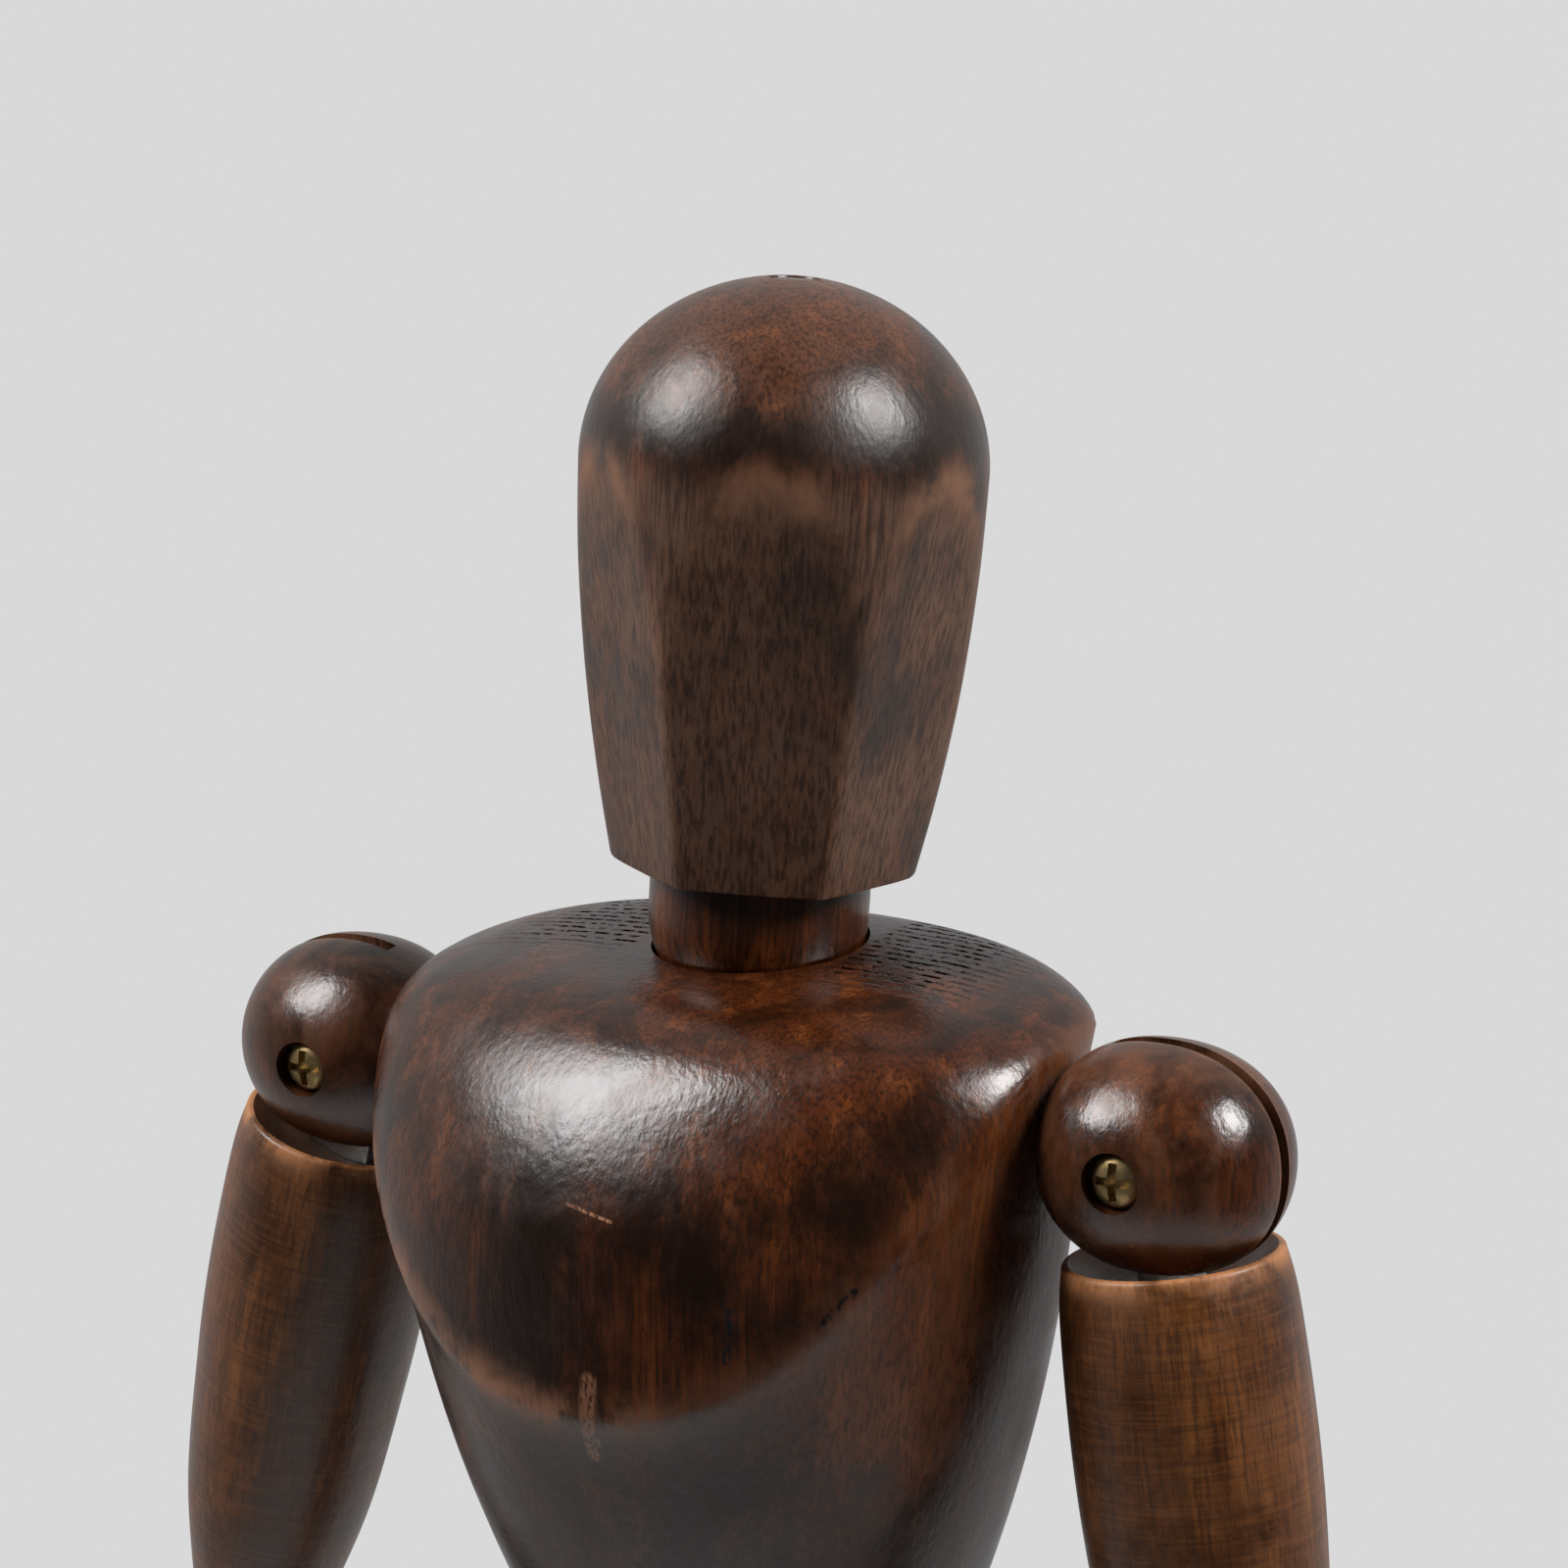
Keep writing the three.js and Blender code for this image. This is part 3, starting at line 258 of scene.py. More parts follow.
class Shader:
    def __init__(self, name):
        self.material = bpy.data.materials.new(name)
        self.material.use_nodes = True
        self.tree = self.material.node_tree
        self.tree.nodes.clear()
        self.out = self.tree.nodes.new("ShaderNodeOutputMaterial")
        self.skin = self.tree.nodes.new("ShaderNodeBsdfPrincipled")
        self.link(self.skin.outputs["BSDF"], self.out.inputs["Surface"])

    def link(self, a, b):
        self.tree.links.new(a, b)

    def put(self, socket, value):
        if hasattr(value, "is_output"):
            self.link(value, socket)
        else:
            socket.default_value = value

    def attribute(self, name, kind):
        node = self.tree.nodes.new("ShaderNodeAttribute")
        node.attribute_name = name
        return node.outputs[kind]

    def stretch(self, vector, scale, offset=(0, 0, 0)):
        node = self.tree.nodes.new("ShaderNodeMapping")
        self.link(vector, node.inputs["Vector"])
        node.inputs["Scale"].default_value = scale
        node.inputs["Location"].default_value = offset
        return node.outputs["Vector"]

    def noise(self, vector, scale, detail=3.0, rough=0.5, distort=0.0):
        node = self.tree.nodes.new("ShaderNodeTexNoise")
        self.link(vector, node.inputs["Vector"])
        node.inputs["Scale"].default_value = scale
        node.inputs["Detail"].default_value = detail
        node.inputs["Roughness"].default_value = rough
        node.inputs["Distortion"].default_value = distort
        return node.outputs["Fac"]

    def math(self, operation, a, b=0.0, clamp=False):
        node = self.tree.nodes.new("ShaderNodeMath")
        node.operation = operation
        node.use_clamp = clamp
        self.put(node.inputs[0], a)
        self.put(node.inputs[1], b)
        return node.outputs[0]

    def ramp(self, value, low, high, to_low=0.0, to_high=1.0):
        node = self.tree.nodes.new("ShaderNodeMapRange")
        node.interpolation_type = "SMOOTHSTEP"
        self.link(value, node.inputs["Value"])
        node.inputs["From Min"].default_value = low
        node.inputs["From Max"].default_value = high
        node.inputs["To Min"].default_value = to_low
        node.inputs["To Max"].default_value = to_high
        return node.outputs["Result"]

    def mix(self, factor, a, b, blend="MIX"):
        node = self.tree.nodes.new("ShaderNodeMix")
        node.data_type = "RGBA"
        node.blend_type = blend
        self.put(node.inputs[0], factor)
        self.put(node.inputs[6], a if hasattr(a, "is_output") else (*a, 1.0))
        self.put(node.inputs[7], b if hasattr(b, "is_output") else (*b, 1.0))
        return node.outputs[2]

    def vector(self, operation, a, b=(0, 0, 0), output="Vector"):
        node = self.tree.nodes.new("ShaderNodeVectorMath")
        node.operation = operation
        self.put(node.inputs[0], a)
        self.put(node.inputs[1], b)
        return node.outputs[output]

    def scratch(self, place, start, end, width):
        """Share of a scratch between two points, 1 along its middle and 0 beyond its width."""
        along = Vector(end) - Vector(start)
        offset = self.vector("SUBTRACT", place, start)
        share = self.vector("DOT_PRODUCT", offset, along / along.length_squared, "Value")
        share = self.math("MINIMUM", self.math("MAXIMUM", share, 0.0), 1.0)
        step = self.tree.nodes.new("ShaderNodeVectorMath")
        step.operation = "SCALE"
        step.inputs[0].default_value = along
        self.link(share, step.inputs["Scale"])
        aside = self.vector("SUBTRACT", offset, step.outputs["Vector"])
        return self.ramp(self.vector("LENGTH", aside, output="Value"), width, width * 0.45)

    def bump(self, height, strength, distance, normal=None):
        node = self.tree.nodes.new("ShaderNodeBump")
        node.inputs["Strength"].default_value = strength
        node.inputs["Distance"].default_value = distance
        self.link(height, node.inputs["Height"])
        if normal is not None:
            self.link(normal, node.inputs["Normal"])
        return node.outputs["Normal"]


def grain_shift(number):
    """Where the grain of a piece begins, so that no two pieces share a pattern."""
    return np.array([0.37 * number % 1.9, 0.53 * number % 2.3, 0.71 * number % 1.7])


# Scratches on the front of the chest: ends in its own millimetres, width and colour
SCRATCH_DEPTH = 0.1
SCRATCHES = [
    ((-1.2, -48.0, -25.2), (5.6, -48.0, -26.6), 0.33, (0.42, 0.19, 0.10)),
    ((2.7, -48.0, -48.0), (1.7, -47.0, -58.7), 1.6, (0.22, 0.10, 0.055)),
    ((22.4, -45.3, -36.4), (21.9, -45.5, -43.0), 0.8, (0.006, 0.006, 0.008)),
    ((36.6, -38.0, -33.6), (33.2, -41.0, -37.6), 0.6, (0.006, 0.004, 0.003)),
]


def on_chest_grain(point):
    shifted = np.array(point) * 0.001 + grain_shift(1)
    return Vector(shifted * (1.0, SCRATCH_DEPTH, 1.0))


def wood(name, deep, body, warm, worn_and_lit, rings, gloss, scratches=()):
    """Stained and lacquered wood with its grain along the piece's own Z.

    The piece's points carry marks: wear rubs it pale and paints bounce light on the chest's flank, dull
    takes its shine, pores opens the grain, and stain darkens it above 0 and lightens it below, which paints
    shade and bounce light on the chest.
    """
    s = Shader(name)
    grain = s.attribute("grain", "Vector")
    wear_and_painted_light, stain_and_painted_light = s.attribute("wear_and_painted_light", "Fac"), s.attribute("stain_and_painted_light", "Fac")
    dull, pores = s.attribute("dull", "Fac"), s.attribute("pores", "Fac")
    mottle = s.noise(s.stretch(grain, (1.0, 1.0, 0.6)), 34.0, 5.0, 0.62, 0.8)
    blotch = s.noise(s.stretch(grain, (1.0, 1.0, 0.7), (3.1, 1.7, 0.4)), 105.0, 5.0, 0.65, 0.4)
    fibre = s.noise(s.stretch(grain, (1.0, 1.0, 0.045)), 1900.0, 3.0, 0.65)
    streak = s.noise(s.stretch(grain, (1.0, 1.0, 0.05), (0.7, 2.0, 0.1)), 300.0, 4.0, 0.65, 0.3)
    speck = s.noise(s.stretch(grain, (1.0, 1.0, 0.35), (5.0, 0.3, 0.9)), 1700.0, 2.0, 0.7)
    ring = s.noise(s.stretch(grain, (0.06, 0.06, 1.0)), 1500.0, 3.0, 0.7)

    tone = s.math("ADD", s.math("MULTIPLY", mottle, 0.6), s.math("MULTIPLY", blotch, 0.4))
    # The signed mark darkens the tone above 0 and lightens it below; on the chest it holds painted shade on
    # the foot and painted bounce light on the flank
    tone = s.math("SUBTRACT", tone, s.math("MULTIPLY", stain_and_painted_light, 0.14))
    even = 0.09 if rings else 0.0
    colour = s.mix(s.ramp(tone, 0.39 - even, 0.60 + even / 2), deep, body)
    lift = s.math("MULTIPLY", s.ramp(streak, 0.46, 0.72), s.ramp(tone, 0.38, 0.58))
    colour = s.mix(s.math("MULTIPLY", lift, 0.75), colour, warm)
    colour = s.mix(s.math("MULTIPLY", s.ramp(fibre, 0.47, 0.62), 0.72 + even), colour, deep)
    if rings:
        colour = s.mix(s.math("MULTIPLY", s.ramp(ring, 0.51, 0.64), rings), colour, deep)
        colour = s.mix(s.math("MULTIPLY", s.ramp(ring, 0.49, 0.38), rings * 0.4), colour, warm)
    colour = s.mix(s.math("MULTIPLY", s.ramp(speck, 0.55, 0.72), 0.45), colour, deep)
    patch = s.math("ADD", s.math("MULTIPLY", blotch, 0.75), s.math("MULTIPLY", fibre, 0.25))
    dusty = s.math("MULTIPLY", s.ramp(fibre, 0.62, 0.40, 0.2, 0.9), s.ramp(tone, 0.40, 0.60, 0.2, 0.9))
    dusty = s.math("MULTIPLY", dusty, dull)
    colour = s.mix(dusty, colour, (0.15, 0.08, 0.047))
    # Rubbed patches take the worn colour; on the chest's flank they are painted bounce light
    rubbed_and_lit = s.math("MULTIPLY", wear_and_painted_light, s.ramp(patch, 0.34, 0.60), clamp=True)
    colour = s.mix(rubbed_and_lit, colour, worn_and_lit)

    place = s.tree.nodes.new("ShaderNodeSeparateXYZ")
    s.link(grain, place.inputs["Vector"])
    wander = s.math("MULTIPLY", s.noise(grain, 70.0, 2.0, 0.5), 6.0)
    row = s.math("SINE", s.math("ADD", s.math("MULTIPLY", place.outputs["Y"], 3300.0), wander))
    dash = s.noise(s.stretch(grain, (0.55, 1.0, 0.3)), 1300.0, 2.0, 0.6)
    holes = s.math("MULTIPLY", s.ramp(row, 0.0, 0.5), s.ramp(dash, 0.45, 0.52))
    holes = s.math("MULTIPLY", holes, pores)
    colour = s.mix(holes, colour, tuple(c * 0.35 for c in deep))
    flat = s.stretch(grain, (1.0, SCRATCH_DEPTH, 1.0))
    for start, end, width, tone in scratches:
        line = s.scratch(flat, on_chest_grain(start), on_chest_grain(end), width * 0.001)
        line = s.math("MULTIPLY", line, s.ramp(speck, 0.36, 0.56))
        colour = s.mix(line, colour, tone)

    s.put(s.skin.inputs["Base Color"], colour)
    sheen = s.ramp(blotch, 0.35, 0.7, gloss - 0.05, gloss + 0.08)
    sheen = s.math("ADD", sheen, s.math("MULTIPLY", rubbed_and_lit, 0.15))
    s.put(s.skin.inputs["Roughness"], s.math("ADD", sheen, s.math("MULTIPLY", dull, 0.22)))
    s.put(s.skin.inputs["Specular IOR Level"], s.math("MULTIPLY", s.math("SUBTRACT", 1.0, holes), 0.6))
    peel = s.noise(s.stretch(grain, (1.0, 1.0, 0.6)), 900.0, 2.0, 0.5)
    normal = s.bump(peel, 0.16, 0.0004)
    normal = s.bump(fibre, 0.14, 0.0002, normal)
    if rings:
        normal = s.bump(ring, 0.12, 0.0002, normal)
    normal = s.bump(s.math("SUBTRACT", 1.0, holes), 0.5, 0.0004, normal)
    s.put(s.skin.inputs["Normal"], normal)
    return s.material


DARK = wood(
    "dark wood", (0.012, 0.0036, 0.0012), (0.078, 0.017, 0.0028), (0.18, 0.048, 0.009),
    (0.27, 0.122, 0.064), 0.0, 0.26, SCRATCHES,
)
LIMB = wood(
    "arm wood", (0.026, 0.0070, 0.0016), (0.140, 0.042, 0.0085), (0.29, 0.102, 0.024),
    (0.50, 0.21, 0.08), 0.42, 0.36,
)
STAND = wood(
    "stand wood", (0.016, 0.0055, 0.002), (0.075, 0.021, 0.005), (0.14, 0.045, 0.012),
    (0.30, 0.13, 0.06), 0.2, 0.36,
)


def metal(name, colour, rough, speckle):
    s = Shader(name)
    grain = s.attribute("grain", "Vector")
    spots = s.noise(grain, 900.0, 4.0, 0.65)
    tarnish = s.math("MULTIPLY", s.ramp(spots, 0.45, 0.7), speckle)
    tint = s.mix(tarnish, colour, tuple(c * 0.3 for c in colour))
    s.put(s.skin.inputs["Base Color"], tint)
    s.skin.inputs["Metallic"].default_value = 1.0
    s.put(s.skin.inputs["Roughness"], s.ramp(spots, 0.35, 0.7, rough, rough + 0.2))
    s.put(s.skin.inputs["Normal"], s.bump(spots, 0.15, 0.0001))
    return s.material


BRASS = metal("aged brass", (0.50, 0.355, 0.165), 0.36, 0.85)
STEEL = metal("plain steel", (0.62, 0.61, 0.58), 0.3, 0.35)

SLOTS = {"dark_wood": DARK, "arm_wood": LIMB, "stand_wood": STAND, "brass": BRASS, "steel": STEEL}
count = 0


def finish(obj, node, body, slot, place=Matrix.Identity(4), side=1, flat=35, grain_turn=None):
    """Grain coordinates, place, shading, material and the body that the piece rides."""
    global count
    count += 1
    local = coordinates(obj)
    if grain_turn is not None:
        local = local @ np.array(grain_turn.to_3x3()).T
    attribute = obj.data.attributes.new("grain", "FLOAT_VECTOR", "POINT")
    attribute.data.foreach_set("vector", (local * 0.001 + grain_shift(count)).astype(np.float32).ravel())
    whole = Matrix.Scale(0.001, 4) @ place @ Matrix.Diagonal((side, 1, 1, 1))
    obj.data.transform(whole)
    if side < 0:
        obj.data.flip_normals()
    only(obj)
    bpy.ops.object.shade_smooth_by_angle(angle=math.radians(flat))
    obj.data.materials.clear()
    obj.data.materials.append(SLOTS[slot])
    obj.name = f"{node}_look"
    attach(obj, body)
    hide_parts(node)
    return obj


# Pieces that several joints share; each is shaped once and copied to the other side

shapes = {}


def once(key, build):
    if key not in shapes:
        made = build()
        shapes[key] = made.data.copy()
        return made
    obj = bpy.data.objects.new(key, shapes[key].copy())
    bpy.context.scene.collection.objects.link(obj)
    return obj


def limb(name, top_dish, rim, belly, end, length, bottom_dish, belly_at):
    rim_z = -math.sqrt(top_dish**2 - rim**2)
    end_z = -length + math.sqrt(bottom_dish**2 - end**2)
    belly_z = rim_z - belly_at
    outer = smooth_curve([
        [rim + 0.9, rim_z - 0.4],
        [(rim + belly) / 2 + 0.72, rim_z - belly_at * 0.3],
        [belly, belly_z],
        [belly - (belly - end) * 0.07, belly_z + (end_z - belly_z) * 0.26],
        [belly - (belly - end) * 0.3, belly_z + (end_z - belly_z) * 0.62],
        [end + 0.9, end_z + 0.4],
    ], 60)
    lip = [[rim + 0.35, rim_z - 0.02], [rim + 0.7, rim_z - 0.14]]
    profile = arc(top_dish, 0.0, rim, 0.0, -1) + lip + outer + arc(bottom_dish, end, 0.0, -length, 1)
    profile[0][0] = 0.0
    profile[-1][0] = 0.0
    obj = lathe(name, profile, 112)
    return obj, rim_z, end_z


def limb_wear(obj, rim_z, end_z):
    z = coordinates(obj)[:, 2]
    at_rim = np.exp(-(((z - rim_z) / 2.0) ** 2))
    at_end = np.exp(-(((z - end_z) / 2.0) ** 2))
    set_mark(obj, "wear_and_painted_light", at_rim + 0.6 * at_end + 0.08)


def barrel(name, radius, reach, inner):
    inner_reach = inner * 1.24
    profile = [[0.0, -inner]]
    for i in range(61):
        distance = -inner + (reach + inner) * math.sin(math.pi * i / 120)
        share = -distance / inner_reach if distance < 0 else distance / reach
        profile.append([radius * max(0.0, 1 - min(1.0, share) ** 2.2) ** (1 / 2.2), distance])
    profile[-1] = [0.0, reach]
    return lathe_across(name, profile, 112)


def ball_on_spigot(name, radius, spigot, spigot_top):
    top = math.asin(math.sqrt(radius**2 - spigot**2) / radius)
    angles = [-math.pi / 2 + (top + math.pi / 2) * i / 40 for i in range(41)]
    profile = [[radius * math.cos(a), radius * math.sin(a)] for a in angles]
    profile[0][0] = 0.0
    return lathe(name, profile + [[spigot, spigot_top], [0.0, spigot_top]], 80)


def screw_sizes(shank):
    """Shank radius, head radius, head height and the radius of the well around the head."""
    return shank / 2, shank, shank * 0.65, shank * 1.15


def screw(name, shank, head_top, tip):
    """Cross-headed screw along X, its head on the +X side."""
    radius, head, height, _ = screw_sizes(shank)
    seat = head_top - height
    crown = [
        [head * math.cos(a), head_top - height * 0.62 + height * 0.62 * math.sin(a)]
        for a in [math.pi / 2 * i / 8 for i in range(8)]
    ]
    profile = [[0.0, tip], [radius, tip + radius], [radius, seat], [head, seat], *crown, [0.0, head_top]]
    obj = lathe_across(name, profile, 48)
    arm, half = head * 0.72, head * 0.17
    deep = (head_top - height * 0.62, head_top + 1)
    cross = box_mesh("recess", deep, (-arm, arm), (-half, half))
    use_boolean(cross, box_mesh("recess arm", deep, (-half, half), (-arm, arm)), "UNION")
    use_boolean(cross, bar("recess middle", half * 1.75, deep[0], deep[1], "X", 8), "UNION")
    cut(obj, cross)
    return obj


def screw_hole(shank, head_top, tip, surface):
    radius, _, height, well = screw_sizes(shank)
    seat = head_top - height - 0.3
    obj = bar("hole", well, seat, surface + 2, "X", 56)
    return use_boolean(obj, bar("bore", radius + FIT_GAP, tip - 0.3, seat + 1, "X"), "UNION")


def quarter(obj):
    obj.data.transform(turn(-90, "Z"))
    return obj


def joint_barrel(name, radius, reach, inner, eye, shank, head_top, tip):
    obj = barrel(name, radius, reach, inner)
    cut(obj, box_mesh("slot", (-eye - 1.5, reach + 2), (-SLOT_HALF, SLOT_HALF), (-radius - 2, radius + 2)))
    cut(obj, quarter(screw_hole(shank, head_top, tip, radius)))
    cut(obj, bar("axle hole", 3.35, -inner - 2, -inner + 5, "X"))
    co = coordinates(obj)
    outside = np.abs(np.hypot(co[:, 1], co[:, 2]) - radius) < radius * 0.3
    slot_edge = np.exp(-((np.abs(np.abs(co[:, 1]) - SLOT_HALF) / 0.5) ** 2)) * (co[:, 0] > -eye)
    set_mark(obj, "wear_and_painted_light", clip01(0.2 * outside + 0.35 * slot_edge))
    return obj


def tongue(name, eye, shank, foot):
    """Steel tongue in YZ with an eye around the joint."""
    obj = box_mesh(name, (-TONGUE_HALF, TONGUE_HALF), (-eye, eye), (-foot, 0))
    use_boolean(obj, bar("eye", eye, -TONGUE_HALF, TONGUE_HALF, "X", 48), "UNION")
    return cut(obj, bar("eye hole", shank / 2 + 0.35, -3, 3, "X", 32))


def mortise(eye, dish, foot):
    thick, wide = TONGUE_HALF + FIT_GAP, eye + FIT_GAP
    return box_mesh("mortise", (-thick, thick), (-wide, wide), (-foot - 0.3, -dish * 0.5))


# Chest: a pillow-shaped breast over a cone, meeting in a carved ridge


def oval(across, along, half_across, half_along, power):
    share = (np.abs(across / half_across) ** power + np.abs(along / half_along) ** power) ** (1 / power)
    return (share - 1) * CHEST_FRONT * 0.7


def rounded_max(values, rounding):
    values = np.array(values)
    top = values.max(0)
    return top + rounding * np.log(np.exp((values - top) / rounding).sum(0))


def chest_surfaces(x, y, z):
    middle = -CHEST_AXIS_AHEAD
    front = y < middle
    down = np.clip(-z / BREAST_DROP, -0.1, 1.3)
    swell = 1 - ((1 - down + np.hypot(1 - down, BREAST_BLEND)) / 2) ** BREAST_CURVE
    breast = CHEST_FRONT * (BREAST_TOP_SHARE + (1 - BREAST_TOP_SHARE) * swell) + middle
    back = CHEST_BACK - middle
    pillow = oval(x, y - middle, CHEST_HALF_WIDTH * 1.08, np.where(front, breast, back), OVAL_POWER)
    fall = np.clip(-z / CHEST_HEIGHT, 0, 1.1)
    wide = CHEST_HALF_WIDTH * 1.02
    half = wide + (CHEST_FOOT_HALF_WIDTH - wide) * fall**1.95
    cone_front = CHEST_FRONT * 1.2 + (CHEST_FOOT_FRONT - CHEST_FRONT * 1.2) * fall**1.7 + middle
    cone_back = CHEST_BACK * 1.05 + (CHEST_FOOT_BACK - CHEST_BACK * 1.05) * fall**1.5 - middle
    cone = oval(x, y - middle, half, np.where(front, cone_front, cone_back), OVAL_POWER)
    crown = z + CROWN_FALL * (np.abs(x) / CHEST_HALF_WIDTH) ** CROWN_CURVE - CROWN_SLOPE * y
    sides = np.abs(x) - CHEST_HALF_WIDTH
    return pillow, crown, cone, sides


def chest_form(x, y, z):
    pillow, crown, cone, sides = chest_surfaces(x, y, z)
    upper = rounded_max([pillow, crown], CROWN_ROUNDING)
    under = np.maximum(0, cone - upper) / CREASE_REACH
    creased = cone + CREASE_DEPTH * under * np.exp(1 - under)
    body = rounded_max([upper, creased, sides], RIDGE_ROUNDING)
    return np.maximum(body, -z - CHEST_HEIGHT)


def make_chest():
    bpy.ops.object.select_all(action="DESELECT")
    bpy.ops.mesh.primitive_uv_sphere_add(segments=224, ring_count=176, radius=1.0)
    obj = bpy.context.active_object
    obj.name = "chest carved"
    ray = coordinates(obj).astype(float)
    ray /= np.linalg.norm(ray, axis=1)[:, None]
    start = np.array([0.0, -8.0, -48.0])
    near, far = np.zeros(len(ray)), np.full(len(ray), 200.0)
    for _ in range(40):
        middle = (near + far) / 2
        p = start + ray * middle[:, None]
        inside = chest_form(p[:, 0], p[:, 1], p[:, 2]) < 0
        near, far = np.where(inside, middle, near), np.where(inside, far, middle)
    p = start + ray * near[:, None]
    obj.data.vertices.foreach_set("co", p.astype(np.float32).ravel())
    obj.data.update()
    neck_reach = NECK_RADIUS + CUP_GAP
    neck_cup = arc(neck_reach, 0.0, neck_reach - 0.001, NECK_BALL_Z - CHEST_TOP_Z, -1, 30)
    cut(obj, lathe("neck cup", neck_cup + [[neck_reach, 12.0], [0.0, 12.0]], 96))
    cut(obj, bar("neck spring room", 9.3, -20.5, -7.5))
    waist_reach = WAIST_BALL_RADIUS + CUP_GAP
    waist_cup = arc(waist_reach, 0.0, waist_reach - 0.001, 0.0, 1, 30)
    waist_cutter = lathe("waist cup", waist_cup + [[waist_reach, -20.0], [0.0, -20.0]], 96)
    waist_cutter.data.transform(move(0, -NECK_BEHIND_WAIST, WAIST_Z - CHEST_TOP_Z))
    cut(obj, waist_cutter)
    waist_room = bar("waist spring room", SPRING_ROOM, -116.0, -92.0)
    waist_room.data.transform(move(0, -NECK_BEHIND_WAIST, 0))
    return cut(obj, waist_room)


def mark_chest(obj):
    """Rubbed ridge and edges, painted shade on the foot, painted bounce light on the flank, matt sheen and
    open pores on the level top.
    """
    x, y, z = coordinates(obj).T
    pillow, crown, cone, sides = chest_surfaces(x, y, z)
    breast = rounded_max([pillow, crown], CROWN_ROUNDING)
    ridge = np.exp(-(((breast - cone) / 0.6) ** 2)) * (np.maximum(breast, cone) > -1.5) * (z < -14)
    right_half = 1 / (1 + np.exp((x - 10) / 8))
    below = np.exp(-(np.clip(breast - cone, -20, 0) ** 2) / 9.0) * (cone > -1.0) * (z < -30) * right_half
    edge = np.exp(-(((sides - np.maximum(breast, cone)) / 1.2) ** 2)) * (sides > -2)
    # Painted bounce light: the flank is made lighter and takes the worn colour
    flank = clip01((x - 24) / 18) * clip01((cone - breast + 1.5) / 2.0) * clip01((z + 80) / 30)
    wear_and_painted_light = ridge * (0.08 + 0.9 * right_half) + 0.1 * below + 0.35 * edge + 0.15 * flank
    set_mark(obj, "wear_and_painted_light", clip01(wear_and_painted_light))
    # Painted shade: the foot below the ridge is made darker
    foot = (cone > breast) * clip01((-z - 28) / 20)
    level = (np.abs(z) < 9) * clip01((crown - pillow + 2) / 4)
    set_mark(obj, "stain_and_painted_light", 0.1 + 0.45 * foot * clip01((40 - x) / 14) + 0.3 * level - 1.1 * flank)
    matt = clip01((4 - x) / 16) * (pillow > crown - 3) * (breast > cone)
    set_mark(obj, "dull", clip01(0.2 * foot + 0.15 * matt))
    open_top = clip01((crown - pillow + 1.0) / 2.0) * (np.abs(x) > 15.6)
    set_mark(obj, "pores", open_top * clip01((40 - np.abs(x)) / 8) * clip01((y + 13) / 5))


chest = make_chest()
mark_chest(chest)
chest_place = move(0, NECK_BEHIND_WAIST, CHEST_TOP_Z)
finish(chest, "chest", "chest", "dark_wood", chest_place, flat=50)


# Neck, head and crown plug

neck_place = move(0, NECK_BEHIND_WAIST, NECK_BALL_Z) @ turn(NECK_LEAN, "Y") @ turn(-NECK_NOD, "X")
head_place = neck_place @ move(0, 0, NECK_TO_HEAD) @ turn(HEAD_TURN, "Z")

neck_profile = arc(NECK_RADIUS, 9.3, NECK_RADIUS - 0.001, 0.0, -1, 24) + [
    [NECK_RADIUS, 8.2],
    [NECK_RADIUS - 0.5, 8.7],
    [2.35, 8.7],
    [2.35, 2.0],
    [5.8, 2.0],
]
neck_profile.append([8.2, neck_profile[0][1]])
neck_profile.append(list(neck_profile[0]))
finish(lathe("neck turned", neck_profile, 96), "neck", "neck", "dark_wood", neck_place)


